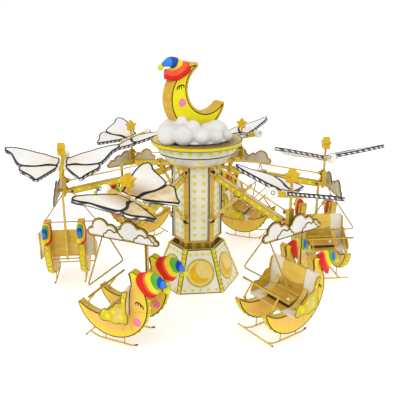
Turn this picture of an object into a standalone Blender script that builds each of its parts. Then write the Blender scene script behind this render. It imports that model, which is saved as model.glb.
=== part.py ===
"""Chair swing ride with six lifting arms, moon gondolas and winged figures, in metres, +Z up.

The origin is the centre of the base on the ground. Pieces of an arm are made once, in the frame of the
arm that points along +X, and then placed round the tower. In that frame a place is given by three
distances: out from the tower's axis, forward along the direction of travel, and up.
"""

import math

import bmesh
import bpy
from mathutils import Matrix, Vector

# Whole ride
ARM_COUNT = 6
SIDES = 6
GAP = 0.0003
PIN_PLAY = 0.0005

# Base
BASE_FOOT_RADIUS = 1.377
BASE_HEAD_RADIUS = 0.864
BASE_HEIGHT = 1.284
FRAME_SKIN = 0.028
HOUSING_WALL = 0.035
FLOOR_THICKNESS = 0.06
BOTTOM_RIM = 0.10
TOP_RIM = 0.07
CORNER_STRIP = 0.055
MEDALLION_RADIUS = 0.40
MEDALLION_HEIGHT = 0.60
MEDALLION_PROUD = 0.018
PEDESTAL_RADIUS = 0.42
SLEW_RADIUS = 0.60
SLEW_TOP = 1.12

# Tower
TOWER_BOTTOM = SLEW_TOP + GAP
NECK_RADIUS = 0.53
TABLE_RADIUS = 0.79
TABLE_BOTTOM = 1.475
TABLE_THICKNESS = 0.03
SHAFT_RADIUS = 0.7397
POST_INNER = 0.74
POST_OUTER = 0.86
POST_HALF_WIDTH = 0.08
TOWER_TOP = 3.885

# Drum and crown on top
DRUM_NECK = 0.88
DRUM_RING_TOP = 3.97
DRUM_WAIST = 1.13
DRUM_RADIUS = 1.16
DRUM_LINE = 4.20
DRUM_TOP = 4.44
CROWN_RADIUS = 1.37
CROWN_TOP = 4.56
CLOUD_FLOOR = CROWN_TOP + GAP
MOON_TURN = math.radians(30)
MOON_THICKNESS = 0.38
MOON_OUTER = (-0.068, 5.804, 0.965)
MOON_INNER = (0.245, 6.061, 0.700)

# Arm linkage, as (out, up)
BEAM_TOWER_PIN = (1.00, 3.60)
BEAM_END_PIN = (3.76, 3.061)
LINK_OFFSET = (0.12, 0.31)
BEAM_HALF_WIDTH = 0.065
BEAM_HALF_HEIGHT = 0.095
CYLINDER_TOWER_PIN = (0.95, 2.34)
CYLINDER_BEAM_PIN = (1.93, 3.26)
BARREL_RADIUS = 0.055
BARREL_BORE = 0.034
BARREL_LENGTH = 1.04
BARREL_FLOOR = 0.10
ROD_RADIUS = 0.028
ROD_START = 0.13
ROD_EYE_RADIUS = 0.055
ROD_EYE_HOLE = 0.038
BEAM_LUG_PIN = 0.018
LUG_THICKNESS = 0.02
LUG_INNER = 0.0725
PIN_RADIUS = 0.022
TIE_RADIUS = 0.024
TIE_EYE_RADIUS = 0.036
HOOP_RADIUS = 0.165
HOOP_WIRE = 0.016
HOOP_AT = 1.16

# Carrier that hangs from the end of the arm
POLE_OUT = 4.0
POLE_RADIUS = 0.035
POLE_TOP = 4.24
CARRIER_BOTTOM = 2.95
CARRIER_TOP = 3.47
STAR_HEIGHT = 4.33
STAR_RADIUS = 0.17
STAR_THICKNESS = 0.13
PLAQUE_OUT = 4.215
PLAQUE_THICKNESS = 0.045
PLAQUE_BASE = 2.84
BAR_FORWARD = 0.76
BAR_APEX = 2.93
BAR_LOW = 1.77
BAR_HALF_WIDTH = 0.83
BAR_WIRE = 0.021

# Winged figure on the pole
BODY_RADIUS = 0.085
BODY_TAIL_RADIUS = 0.05
HEAD_RADIUS = 0.15
WING_SPAN = 1.76
WING_RISE = 0.19
WING_PITCH = 0.27
WING_FORWARD = 0.35
WING_HEIGHT = 3.95
WING_THICKNESS = 0.045

# Gondola
MOON_OUTS = (3.52, 4.52)
PLATE_THICKNESS = 0.19
GONDOLA_OUTER = (0.26, 1.38, 1.03)
GONDOLA_INNER = (0.60, 1.86, 0.93)
TUB_RADIUS = 0.94
TUB_WALL = 0.05
TUB_HALF_WIDTH = 0.84
SIDE_THICKNESS = 0.04
SEAT_HALF_WIDTH = 0.56
POST_FORWARD = -0.44
LAP_PIN = (1.02, 1.12)
LAP_HANDLE = (0.76, 1.47)
LAP_HALF_WIDTH = 0.85
LAP_PIN_RADIUS = 0.012
EAR_OFFSET = 0.04
SKID_HEIGHT = 0.135
SKID_WIRE = 0.022

GOLD = (0.80, 0.56, 0.17)
YELLOW = (0.92, 0.80, 0.08)
WHITE = (0.90, 0.88, 0.84)
PALE_GOLD = (0.86, 0.66, 0.30)
STEEL = (0.62, 0.60, 0.56)
CAP_RED = (0.82, 0.12, 0.07)


def clear_scene():
    for obj in list(bpy.data.objects):
        bpy.data.objects.remove(obj, do_unlink=True)


def new_collection(name):
    collection = bpy.data.collections.new(name)
    bpy.context.scene.collection.children.link(collection)
    return collection


def principled(name, colour, roughness, metallic):
    material = bpy.data.materials.new(name)
    material.use_nodes = True
    shader = material.node_tree.nodes["Principled BSDF"]
    shader.inputs["Base Color"].default_value = (*colour, 1.0)
    shader.inputs["Roughness"].default_value = roughness
    shader.inputs["Metallic"].default_value = metallic
    return material


def arm_point(out, forward, up):
    """A place in the frame of the arm along +X, whose direction of travel is -Y."""
    return Vector((out, -forward, up))


def axes_matrix(x_axis, y_axis, origin):
    """The matrix that takes local X and Y to these directions, and the local origin to this place."""
    across = Vector(x_axis).normalized()
    up = Vector(y_axis).normalized()
    turn = Matrix((across, up, across.cross(up))).transposed()
    return Matrix.Translation(origin) @ turn.to_4x4()


def mesh_object(bm, name="shape"):
    mesh = bpy.data.meshes.new(name)
    bm.to_mesh(mesh)
    bm.free()
    obj = bpy.data.objects.new(name, mesh)
    workshop.objects.link(obj)
    return obj


def box(low, high):
    low = Vector(low)
    high = Vector(high)
    size = high - low
    bm = bmesh.new()
    matrix = Matrix.Translation((low + high) / 2) @ Matrix.Diagonal((*size, 1.0))
    bmesh.ops.create_cube(bm, size=1.0, matrix=matrix)
    return mesh_object(bm)


def arm_box(out, forward, up):
    """A box between pairs of distances out, forward and up."""
    return box((out[0], -forward[1], up[0]), (out[1], -forward[0], up[1]))


def cone(start, end, radius_start, radius_end, sides, turn=0.0):
    start = Vector(start)
    end = Vector(end)
    axis = end - start
    matrix = Matrix.Translation((start + end) / 2)
    matrix @= axis.to_track_quat("Z", "Y").to_matrix().to_4x4()
    matrix @= Matrix.Rotation(turn, 4, "Z")
    bm = bmesh.new()
    bmesh.ops.create_cone(
        bm, cap_ends=True, segments=sides, radius1=radius_start, radius2=radius_end,
        depth=axis.length, matrix=matrix,
    )
    return mesh_object(bm)


def rod(start, end, radius, sides=6):
    return cone(start, end, radius, radius, sides)


def hexagon(radius_low, radius_high, low, high):
    """A six-sided column whose corners point along the arms."""
    return cone((0, 0, low), (0, 0, high), radius_low, radius_high, SIDES, math.radians(30))


def ball(centre, radius, scale=(1.0, 1.0, 1.0), subdivisions=2):
    bm = bmesh.new()
    matrix = Matrix.Translation(centre) @ Matrix.Diagonal((*scale, 1.0))
    bmesh.ops.create_icosphere(bm, subdivisions=subdivisions, radius=radius, matrix=matrix)
    return mesh_object(bm)


def turned(profile, steps):
    """A round solid about Z from a profile that runs down its outer side, from axis to axis."""
    bm = bmesh.new()
    points = [bm.verts.new((radius, 0.0, height)) for radius, height in profile]
    for first, second in zip(points, points[1:]):
        bm.edges.new((first, second))
    obj = mesh_object(bm)
    screw = obj.modifiers.new("turn", "SCREW")
    screw.steps = steps
    screw.render_steps = steps
    screw.use_merge_vertices = True
    screw.merge_threshold = 0.0001
    return bake(obj)


def curve_mesh(curve, matrix):
    """The welded mesh of a curve."""
    guide = bpy.data.objects.new("guide", curve)
    workshop.objects.link(guide)
    guide.matrix_world = matrix
    bpy.context.view_layer.update()
    graph = bpy.context.evaluated_depsgraph_get()
    mesh = bpy.data.meshes.new_from_object(guide.evaluated_get(graph))
    mesh.transform(matrix)
    bm = bmesh.new()
    bm.from_mesh(mesh)
    bmesh.ops.remove_doubles(bm, verts=bm.verts, dist=0.00005)
    bpy.data.objects.remove(guide, do_unlink=True)
    return mesh_object(bm)


def plate(outline, thickness, x_axis, y_axis, origin=(0.0, 0.0, 0.0)):
    """A flat plate from an outline in the plane of two directions, half its thickness each side."""
    curve = bpy.data.curves.new("outline", "CURVE")
    curve.dimensions = "2D"
    curve.fill_mode = "BOTH"
    curve.extrude = thickness / 2
    spline = curve.splines.new("POLY")
    spline.points.add(len(outline) - 1)
    for point, place in zip(spline.points, outline):
        point.co = (place[0], place[1], 0.0, 1.0)
    spline.use_cyclic_u = True
    return curve_mesh(curve, axes_matrix(x_axis, y_axis, origin))


def side_plate(outline, thickness, out):
    """A plate square to the arm, from (forward, up) points."""
    return plate(outline, thickness, (0, -1, 0), (0, 0, 1), (out, 0, 0))


def arm_plate(outline, thickness, forward):
    """A plate along the arm, from (out, up) points."""
    return plate(outline, thickness, (1, 0, 0), (0, 0, 1), (0, -forward, 0))


def tube(points, radius, closed=False):
    """A bent bar with four sides."""
    curve = bpy.data.curves.new("bar", "CURVE")
    curve.dimensions = "3D"
    curve.bevel_depth = radius
    curve.bevel_resolution = 0
    curve.use_fill_caps = True
    spline = curve.splines.new("POLY")
    spline.points.add(len(points) - 1)
    for point, place in zip(spline.points, points):
        point.co = (*place, 1.0)
    spline.use_cyclic_u = closed
    return curve_mesh(curve, Matrix.Identity(4))


def bake(obj):
    """Replaces an object's mesh by what its modifiers make of it."""
    bpy.context.view_layer.update()
    graph = bpy.context.evaluated_depsgraph_get()
    mesh = bpy.data.meshes.new_from_object(obj.evaluated_get(graph))
    obj.modifiers.clear()
    obj.data = mesh
    return obj


def combine(target, others, operation):
    for other in others:
        step = target.modifiers.new("step", "BOOLEAN")
        step.operation = operation
        step.solver = "EXACT"
        step.object = other
    bake(target)
    for other in others:
        bpy.data.objects.remove(other, do_unlink=True)
    return target


def fuse(first, *others):
    return combine(first, others, "UNION")


def cut(target, *cutters):
    return combine(target, cutters, "DIFFERENCE")


def hole_radius(pin_radius):
    """The corner radius of a hole whose flats clear a pin by the play."""
    return (pin_radius + PIN_PLAY) / math.cos(math.pi / SIDES)


def arc(centre, radius, start, end, count):
    """Points on a circle from one angle to another, in degrees."""
    points = []
    for step in range(count + 1):
        angle = math.radians(start + (end - start) * step / count)
        points.append((centre[0] + radius * math.cos(angle), centre[1] + radius * math.sin(angle)))
    return points


def crescent(outer, inner, grow=0.0, outer_steps=14, inner_steps=10):
    """The outline between two circles, each (across, up, radius), grown by a margin."""
    x1, y1, r1 = outer[0], outer[1], outer[2] + grow
    x2, y2, r2 = inner[0], inner[1], inner[2] - grow
    apart = math.hypot(x2 - x1, y2 - y1)
    reach = (apart**2 + r1**2 - r2**2) / (2 * apart)
    half = math.sqrt(r1**2 - reach**2)
    along = ((x2 - x1) / apart, (y2 - y1) / apart)
    middle = (x1 + along[0] * reach, y1 + along[1] * reach)
    front = (middle[0] + along[1] * half, middle[1] - along[0] * half)
    rear = (middle[0] - along[1] * half, middle[1] + along[0] * half)

    def angle(point, centre):
        return math.degrees(math.atan2(point[1] - centre[1], point[0] - centre[0]))

    outer_start = angle(front, outer)
    outer_end = angle(rear, outer)
    if outer_end > outer_start:
        outer_end -= 360
    inner_start = angle(rear, inner) % 360
    inner_end = angle(front, inner) % 360
    under = arc(outer, r1, outer_start, outer_end, outer_steps)
    over = arc(inner, r2, inner_start, inner_end, inner_steps)
    return under[:-1] + over[:-1]


def star_outline(radius, points=5, depth=0.5):
    outline = []
    for corner in range(2 * points):
        reach = radius if corner % 2 == 0 else radius * depth
        angle = math.pi / 2 + corner * math.pi / points
        outline.append((reach * math.cos(angle), reach * math.sin(angle)))
    return outline


def cross_bar(place, radius, half_length, sides=6, turn=0.0):
    """A bar square to the arm, at a place given as (out, up)."""
    out, up = place
    start = arm_point(out, -half_length, up)
    end = arm_point(out, half_length, up)
    return cone(start, end, radius, radius, sides, turn)


def fixed_pin(place):
    """A pin held in two cheeks, with its corners against the flats of the eye on it."""
    return cross_bar(place, PIN_RADIUS, LUG_INNER + LUG_THICKNESS / 2, SIDES, math.radians(30))


def eye_hole(place, half_length=0.2):
    return cross_bar(place, hole_radius(PIN_RADIUS), half_length)


def finish(obj, name, material, origin=(0.0, 0.0, 0.0), parent=None):
    """Names a made shape, puts its origin on this place and moves it into the ride's collection."""
    origin = Vector(origin)
    obj.name = name
    obj.data.name = name
    obj.data.transform(Matrix.Translation(-origin))
    obj.location = origin
    obj.parent = parent
    obj.data.materials.clear()
    obj.data.materials.append(material)
    obj.data.shade_smooth()
    obj.data.set_sharp_from_angle(angle=math.radians(35))
    workshop.objects.unlink(obj)
    ride.objects.link(obj)
    return obj


def empty(name, parent=None, turn=0.0):
    marker = bpy.data.objects.new(name, None)
    marker.rotation_euler = (0.0, 0.0, turn)
    marker.parent = parent
    ride.objects.link(marker)
    return marker


def place_on_arms(made, suffix, material, pivot):
    """Puts a copy of an arm's piece on each arm, with its origin on its joint."""
    first = finish(made, f"arm_1_{suffix}", material, pivot, arm_frames[0])
    for number, frame in enumerate(arm_frames[1:], start=2):
        copy = bpy.data.objects.new(f"arm_{number}_{suffix}", first.data)
        copy.location = first.location
        copy.parent = frame
        ride.objects.link(copy)


# Base

def face_frame(index, height, inset=0.0):
    """The matrix axes of one sloping face of the base: level direction, slope direction and a place."""
    turn = math.radians(30 + 60 * index)
    outward = Vector((math.cos(turn), math.sin(turn), 0.0))
    level = Vector((-math.sin(turn), math.cos(turn), 0.0))
    shrink = (BASE_FOOT_RADIUS - BASE_HEAD_RADIUS) * math.cos(math.radians(30))
    slope = (Vector((0.0, 0.0, BASE_HEIGHT)) - outward * shrink).normalized()
    foot = BASE_FOOT_RADIUS * math.cos(math.radians(30))
    apothem = foot - shrink * height / BASE_HEIGHT - inset
    return level, slope, outward * apothem + Vector((0.0, 0.0, height))


def corner_radius(height):
    """The distance of the base's corners from the axis at this height."""
    share = height / BASE_HEIGHT
    return BASE_FOOT_RADIUS + (BASE_HEAD_RADIUS - BASE_FOOT_RADIUS) * share


def build_base_frame():
    """Corner strips and rims, one skin with a window in each face."""
    skin = hexagon(BASE_FOOT_RADIUS, BASE_HEAD_RADIUS, 0.0, BASE_HEIGHT)
    margin = 0.1
    slope = (BASE_HEAD_RADIUS - BASE_FOOT_RADIUS) / BASE_HEIGHT
    inside_foot = BASE_FOOT_RADIUS - FRAME_SKIN - slope * margin
    inside_head = BASE_HEAD_RADIUS - FRAME_SKIN + slope * margin
    hollow = hexagon(inside_foot, inside_head, -margin, BASE_HEIGHT + margin)
    cut(skin, hollow)
    windows = []
    window_low = BOTTOM_RIM
    window_high = BASE_HEIGHT - TOP_RIM
    middle = (window_low + window_high) / 2
    for index in range(SIDES):
        level, up_slope, centre = face_frame(index, middle)
        lean = up_slope.z
        half_low = corner_radius(window_low) / 2 - CORNER_STRIP
        half_high = corner_radius(window_high) / 2 - CORNER_STRIP
        rise = (window_high - middle) / lean
        outline = [(-half_low, -rise), (half_low, -rise), (half_high, rise), (-half_high, rise)]
        windows.append(plate(outline, 0.2, level, up_slope, centre))
    return cut(skin, *windows)


def build_base_housing():
    """Six sloping panels with a round medallion each, and the floor that the pedestal stands on."""
    foot = BASE_FOOT_RADIUS - FRAME_SKIN - 2 * GAP
    head = BASE_HEAD_RADIUS - FRAME_SKIN - 2 * GAP
    panels = hexagon(foot, head, 0.0, BASE_HEIGHT - 0.004)
    slope = (head - foot) / BASE_HEIGHT
    wall = HOUSING_WALL
    hollow = hexagon(
        foot - wall + slope * FLOOR_THICKNESS, head - wall + slope * 0.1,
        FLOOR_THICKNESS, BASE_HEIGHT + 0.1,
    )
    cut(panels, hollow)
    medallions = []
    for index in range(SIDES):
        level, up_slope, centre = face_frame(index, MEDALLION_HEIGHT, FRAME_SKIN)
        normal = level.cross(up_slope)
        start = centre - normal * 0.02
        end = centre + normal * MEDALLION_PROUD
        medallions.append(cone(start, end, MEDALLION_RADIUS, MEDALLION_RADIUS, 20))
    return fuse(panels, *medallions)


def build_pedestal():
    """The fixed column in the base and the bearing ring that the tower turns on."""
    bearing_low = SLEW_TOP - 0.09
    profile = [
        (0.0, SLEW_TOP),
        (SLEW_RADIUS, SLEW_TOP),
        (SLEW_RADIUS, bearing_low),
        (PEDESTAL_RADIUS, bearing_low - 0.04),
        (PEDESTAL_RADIUS, FLOOR_THICKNESS + GAP),
        (0.0, FLOOR_THICKNESS + GAP),
    ]
    return turned(profile, 24)


# Tower

def build_tower_shaft():
    return hexagon(SHAFT_RADIUS, SHAFT_RADIUS, TABLE_BOTTOM + TABLE_THICKNESS + GAP, TOWER_TOP)


def tower_lugs(turn):
    """The two cheeks of each of one arm's brackets on its post."""
    beam_out, beam_up = BEAM_TOWER_PIN
    tie_out = beam_out + LINK_OFFSET[0]
    tie_up = beam_up + LINK_OFFSET[1]
    upper = [
        (POST_OUTER - 0.03, beam_up - 0.16),
        (beam_out + 0.05, beam_up - 0.07),
        (tie_out + 0.05, tie_up - 0.02),
        (tie_out + 0.03, tie_up + 0.05),
        (tie_out - 0.10, tie_up + 0.05),
        (POST_OUTER + 0.055, TOWER_TOP - 0.01),
        (POST_OUTER - 0.03, TOWER_TOP - 0.01),
    ]
    low_out, low_up = CYLINDER_TOWER_PIN
    lower = [
        (POST_OUTER - 0.03, low_up - 0.14),
        (low_out + 0.05, low_up - 0.03),
        (low_out + 0.03, low_up + 0.05),
        (POST_OUTER - 0.03, low_up + 0.10),
    ]
    offset = LUG_INNER + LUG_THICKNESS / 2
    plates = []
    for outline in (upper, lower):
        for forward in (-offset, offset):
            plates.append(arm_plate(outline, LUG_THICKNESS, forward))
    for made in plates:
        made.data.transform(turn)
    return plates


def tower_pins(turn):
    """The three fixed pins between the cheeks of one arm's brackets."""
    beam = BEAM_TOWER_PIN
    tie = (beam[0] + LINK_OFFSET[0], beam[1] + LINK_OFFSET[1])
    pins = [fixed_pin(place) for place in (beam, tie, CYLINDER_TOWER_PIN)]
    for made in pins:
        made.data.transform(turn)
    return pins


def build_tower_frame():
    """Neck that turns on the bearing, plate under the shaft, six corner posts and the arms' brackets."""
    table_top = TABLE_BOTTOM + TABLE_THICKNESS
    frame = hexagon(TABLE_RADIUS, TABLE_RADIUS, TABLE_BOTTOM, table_top)
    neck = rod((0, 0, TOWER_BOTTOM), (0, 0, TABLE_BOTTOM + TABLE_THICKNESS / 2), NECK_RADIUS, 24)
    pieces = [neck]
    for index in range(ARM_COUNT):
        turn = Matrix.Rotation(math.radians(60 * index), 4, "Z")
        post = arm_box(
            (POST_INNER, POST_OUTER), (-POST_HALF_WIDTH, POST_HALF_WIDTH), (TABLE_BOTTOM, TOWER_TOP),
        )
        post.data.transform(turn)
        pieces.append(post)
        pieces += tower_lugs(turn)
        pieces += tower_pins(turn)
    return fuse(frame, *pieces)


def build_drum():
    bottom = TOWER_TOP + GAP
    profile = [
        (0.0, DRUM_TOP),
        (DRUM_RADIUS, DRUM_TOP),
        (DRUM_RADIUS, DRUM_LINE + 0.01),
        (DRUM_WAIST, DRUM_LINE - 0.01),
        (DRUM_NECK + 0.02, DRUM_RING_TOP),
        (DRUM_NECK, bottom),
        (0.0, bottom),
    ]
    return turned(profile, 30)


def build_cornice():
    bottom = DRUM_TOP + GAP
    profile = [
        (0.0, CROWN_TOP),
        (CROWN_RADIUS, CROWN_TOP),
        (CROWN_RADIUS, CROWN_TOP - 0.035),
        (CROWN_RADIUS - 0.13, bottom + 0.02),
        (DRUM_RADIUS + 0.03, bottom),
        (0.0, bottom),
    ]
    return turned(profile, 30)


def moon_plate(grow=0.0):
    """The crescent on the drum, which stands square to the arm at 300 degrees."""
    outline = crescent(MOON_OUTER, MOON_INNER, grow, 26, 18)
    across = (math.cos(MOON_TURN), math.sin(MOON_TURN), 0.0)
    return plate(outline, MOON_THICKNESS + 2 * grow, across, (0, 0, 1))


def moon_place(across, depth, up):
    """A place given across the crescent, out of its face and up."""
    return Vector((
        across * math.cos(MOON_TURN) + depth * math.sin(MOON_TURN),
        across * math.sin(MOON_TURN) - depth * math.cos(MOON_TURN),
        up,
    ))


def build_cloud_bank():
    """Puffs round the foot of the crescent, flat below, with a slot that the crescent stands in."""
    puffs = [
        (-0.60, 0.46, 0.22, 0.42),
        (0.02, 0.62, 0.20, 0.42),
        (0.60, 0.40, 0.18, 0.40),
        (0.66, -0.30, 0.18, 0.42),
        (0.05, -0.60, 0.20, 0.42),
        (-0.65, -0.34, 0.22, 0.44),
        (-0.40, 0.32, 0.50, 0.32),
        (0.52, 0.16, 0.44, 0.32),
    ]
    core = rod((0, 0, CLOUD_FLOOR - 0.2), (0, 0, CLOUD_FLOOR + 0.38), 0.62, 12)
    balls = [
        ball(moon_place(across, depth, CLOUD_FLOOR + up), radius)
        for across, depth, up, radius in puffs
    ]
    fuse(core, *balls)
    below = box((-2, -2, CLOUD_FLOOR - 1), (2, 2, CLOUD_FLOOR))
    return cut(core, below, moon_plate(GAP))


def build_nightcap():
    """A soft cap on the crescent's upper shoulder, whose tip hangs over."""
    route = [
        (-0.56, 6.42, 0.30),
        (-0.70, 6.55, 0.33),
        (-0.84, 6.68, 0.25),
        (-0.98, 6.79, 0.18),
        (-1.13, 6.82, 0.12),
        (-1.26, 6.74, 0.07),
    ]
    curve = bpy.data.curves.new("cap", "CURVE")
    curve.dimensions = "3D"
    curve.bevel_depth = 1.0
    curve.bevel_resolution = 3
    curve.use_fill_caps = True
    spline = curve.splines.new("POLY")
    spline.points.add(len(route) - 1)
    for point, (across, up, radius) in zip(spline.points, route):
        point.co = (*moon_place(across, 0.0, up), 1.0)
        point.radius = radius
    cap = curve_mesh(curve, Matrix.Identity(4))
    pompom = ball(moon_place(-1.31, 0.0, 6.68), 0.08)
    fuse(cap, pompom)
    return cut(cap, moon_plate(GAP))


# Arm linkage

def beam_direction():
    out = BEAM_END_PIN[0] - BEAM_TOWER_PIN[0]
    up = BEAM_END_PIN[1] - BEAM_TOWER_PIN[1]
    length = math.hypot(out, up)
    return out / length, up / length, length


def build_beam():
    """Box beam with rounded ends and eyes, the cylinder's lug with its pin, and a hoop round it."""
    across, rise, length = beam_direction()
    start = BEAM_TOWER_PIN
    radius = BEAM_HALF_HEIGHT
    outline = arc((0.0, 0.0), radius, 90, 270, 4)
    outline += arc((length, 0.0), radius, -90, 90, 4)
    turn_x = (across, 0, rise)
    turn_y = (-rise, 0, across)
    beam = plate(outline, 2 * BEAM_HALF_WIDTH, turn_x, turn_y, arm_point(start[0], 0.0, start[1]))
    pieces = [cross_bar(CYLINDER_BEAM_PIN, BEAM_LUG_PIN, BEAM_HALF_WIDTH)]
    lug_out, lug_up = CYLINDER_BEAM_PIN
    lug = [
        (lug_out - 0.09, lug_up + 0.17),
        (lug_out - 0.045, lug_up - 0.03),
        (lug_out + 0.045, lug_up - 0.03),
        (lug_out + 0.09, lug_up + 0.17),
    ]
    for side in (-1, 1):
        pieces.append(arm_plate(lug, LUG_THICKNESS, side * (BEAM_HALF_WIDTH - 0.002)))
    hoop_centre = Vector((start[0] + across * HOOP_AT, 0.0, start[1] + rise * HOOP_AT))
    ring = [
        hoop_centre + Vector((-rise, 0, across)) * y + Vector((0, 1, 0)) * x
        for x, y in arc((0.0, 0.0), HOOP_RADIUS, 0, 360, 10)[:-1]
    ]
    pieces.append(tube(ring, HOOP_WIRE, closed=True))
    spoke = Vector((0, 1, 0)) * HOOP_RADIUS
    pieces.append(rod(hoop_centre - spoke, hoop_centre + spoke, 0.012, 4))
    fuse(beam, *pieces)
    return cut(beam, eye_hole(BEAM_TOWER_PIN), eye_hole(BEAM_END_PIN))


def tie_pins():
    near = (BEAM_TOWER_PIN[0] + LINK_OFFSET[0], BEAM_TOWER_PIN[1] + LINK_OFFSET[1])
    far = (BEAM_END_PIN[0] + LINK_OFFSET[0], BEAM_END_PIN[1] + LINK_OFFSET[1])
    return near, far


def build_tie_rod():
    near, far = tie_pins()
    bar = rod(arm_point(near[0], 0, near[1]), arm_point(far[0], 0, far[1]), TIE_RADIUS)
    eyes = [cross_bar(place, TIE_EYE_RADIUS, LUG_INNER - 0.006, 8) for place in (near, far)]
    fuse(bar, *eyes)
    return cut(bar, eye_hole(near), eye_hole(far))


def cylinder_point(distance):
    """A place on the lift cylinder's axis, this far from its tower pin."""
    out, up = CYLINDER_TOWER_PIN
    run = CYLINDER_BEAM_PIN[0] - out
    rise = CYLINDER_BEAM_PIN[1] - up
    length = math.hypot(run, rise)
    return arm_point(out + run / length * distance, 0.0, up + rise / length * distance)


def cylinder_length():
    out, up = CYLINDER_TOWER_PIN
    return math.hypot(CYLINDER_BEAM_PIN[0] - out, CYLINDER_BEAM_PIN[1] - up)


def build_lift_barrel():
    barrel = rod(cylinder_point(0.0), cylinder_point(BARREL_LENGTH), BARREL_RADIUS, 8)
    bore = rod(cylinder_point(BARREL_FLOOR), cylinder_point(BARREL_LENGTH + 0.1), BARREL_BORE, 8)
    fuse(barrel, cross_bar(CYLINDER_TOWER_PIN, BARREL_RADIUS + 0.004, LUG_INNER - 0.006, 8))
    return cut(barrel, bore, eye_hole(CYLINDER_TOWER_PIN))


def build_lift_rod():
    """Rod with a piston in the barrel's bore and a wide eye round the beam's pin."""
    length = cylinder_length()
    shank = rod(cylinder_point(ROD_START), cylinder_point(length - 0.04), ROD_RADIUS, 8)
    piston = rod(
        cylinder_point(ROD_START), cylinder_point(ROD_START + 0.05), BARREL_BORE - PIN_PLAY, 8,
    )
    eye = cross_bar(CYLINDER_BEAM_PIN, ROD_EYE_RADIUS, 0.03, 8)
    fuse(shank, piston, eye)
    return cut(shank, cross_bar(CYLINDER_BEAM_PIN, ROD_EYE_HOLE, 0.06, 8))


# Carrier and winged figure

def cloud_outline(front, rear, base, lumps):
    """The upper edge of overlapping round lumps over a straight foot, read from front to rear."""
    steps = 18
    outline = [(rear, base), (front, base)]
    for step in range(steps + 1):
        forward = front + (rear - front) * step / steps
        tops = [base + 0.05]
        for centre, height, radius in lumps:
            inside = radius**2 - (forward - centre) ** 2
            if inside > 0:
                tops.append(height + math.sqrt(inside))
        outline.append((forward, max(tops)))
    return outline


def build_plaque():
    """The upright plate of paired clouds outside the pole."""
    lumps = [
        (0.98, 2.99, 0.14),
        (0.72, 3.10, 0.26),
        (0.40, 3.05, 0.20),
        (0.16, 3.08, 0.14),
        (-0.10, 3.13, 0.27),
        (-0.42, 3.05, 0.22),
        (-0.70, 2.97, 0.16),
        (-0.83, 2.90, 0.10),
    ]
    outline = cloud_outline(1.11, -0.92, PLAQUE_BASE, lumps)
    return side_plate(outline, PLAQUE_THICKNESS, PLAQUE_OUT)


def build_carrier():
    """End bracket of the arm with the pole, the star, the plaque, the control bar and the drop arm."""
    beam_out, beam_up = BEAM_END_PIN
    _, tie = tie_pins()
    web_out = POLE_OUT + 0.05
    cheek = [
        (beam_out - 0.06, beam_up - 0.07),
        (beam_out - 0.02, CARRIER_BOTTOM),
        (web_out, CARRIER_BOTTOM),
        (web_out, CARRIER_TOP),
        (tie[0] - 0.02, CARRIER_TOP),
        (tie[0] - 0.07, tie[1] + 0.04),
        (beam_out - 0.07, beam_up + 0.03),
    ]
    web = arm_box(
        (POLE_OUT - 0.05, web_out), (-LUG_INNER - 0.01, LUG_INNER + 0.01),
        (CARRIER_BOTTOM, CARRIER_TOP),
    )
    offset = LUG_INNER + LUG_THICKNESS / 2
    pieces = [arm_plate(cheek, LUG_THICKNESS, side * offset) for side in (-1, 1)]
    pole_base = arm_point(POLE_OUT, 0, CARRIER_BOTTOM + 0.02)
    pieces.append(rod(pole_base, arm_point(POLE_OUT, 0, POLE_TOP), POLE_RADIUS))
    star = [(across, STAR_HEIGHT + up) for across, up in star_outline(STAR_RADIUS)]
    pieces.append(side_plate(star, STAR_THICKNESS, POLE_OUT))
    inner_face = PLAQUE_OUT - PLAQUE_THICKNESS / 2
    pieces.append(arm_box((web_out - 0.01, inner_face + 0.01), (-0.03, 0.03), (3.03, 3.13)))
    pieces.append(build_plaque())
    drop = arm_box((POLE_OUT - 0.045, POLE_OUT + 0.045), (POST_FORWARD - 0.05, 0.0), (2.96, 3.04))
    pieces.append(drop)
    stay_start = arm_point(POLE_OUT, 0.05, 3.22)
    stay_end = arm_point(POLE_OUT, BAR_FORWARD, BAR_APEX)
    pieces.append(rod(stay_start, stay_end, 0.022, 4))
    low = BAR_LOW
    half = BAR_HALF_WIDTH
    control_bar = [
        (-0.05, BAR_APEX), (0.05, BAR_APEX), (half - 0.03, low + 0.10), (half, low + 0.03),
        (half - 0.04, low), (-half + 0.04, low), (-half, low + 0.03), (-half + 0.03, low + 0.10),
    ]
    route = [arm_point(POLE_OUT + across, BAR_FORWARD, up) for across, up in control_bar]
    pieces.append(tube(route, BAR_WIRE, closed=True))
    pieces += [fixed_pin(BEAM_END_PIN), fixed_pin(tie)]
    return fuse(web, *pieces)


def wing(outline, side):
    """One wing in its own rising plane; outline points are (outward from the pole, forward)."""
    span_axis = Vector((side, 0.0, WING_RISE)).normalized()
    chord = Vector((0.0, -1.0, WING_PITCH))
    chord = (chord - span_axis * chord.dot(span_axis)).normalized()
    origin = arm_point(POLE_OUT, 0.0, WING_HEIGHT - WING_PITCH * WING_FORWARD)
    stretch = math.hypot(1.0, WING_RISE)
    reach = math.hypot(1.0, WING_PITCH)
    points = [(across * stretch, forward * reach) for across, forward in outline]
    return plate(points, WING_THICKNESS, span_axis, chord, origin)


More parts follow.
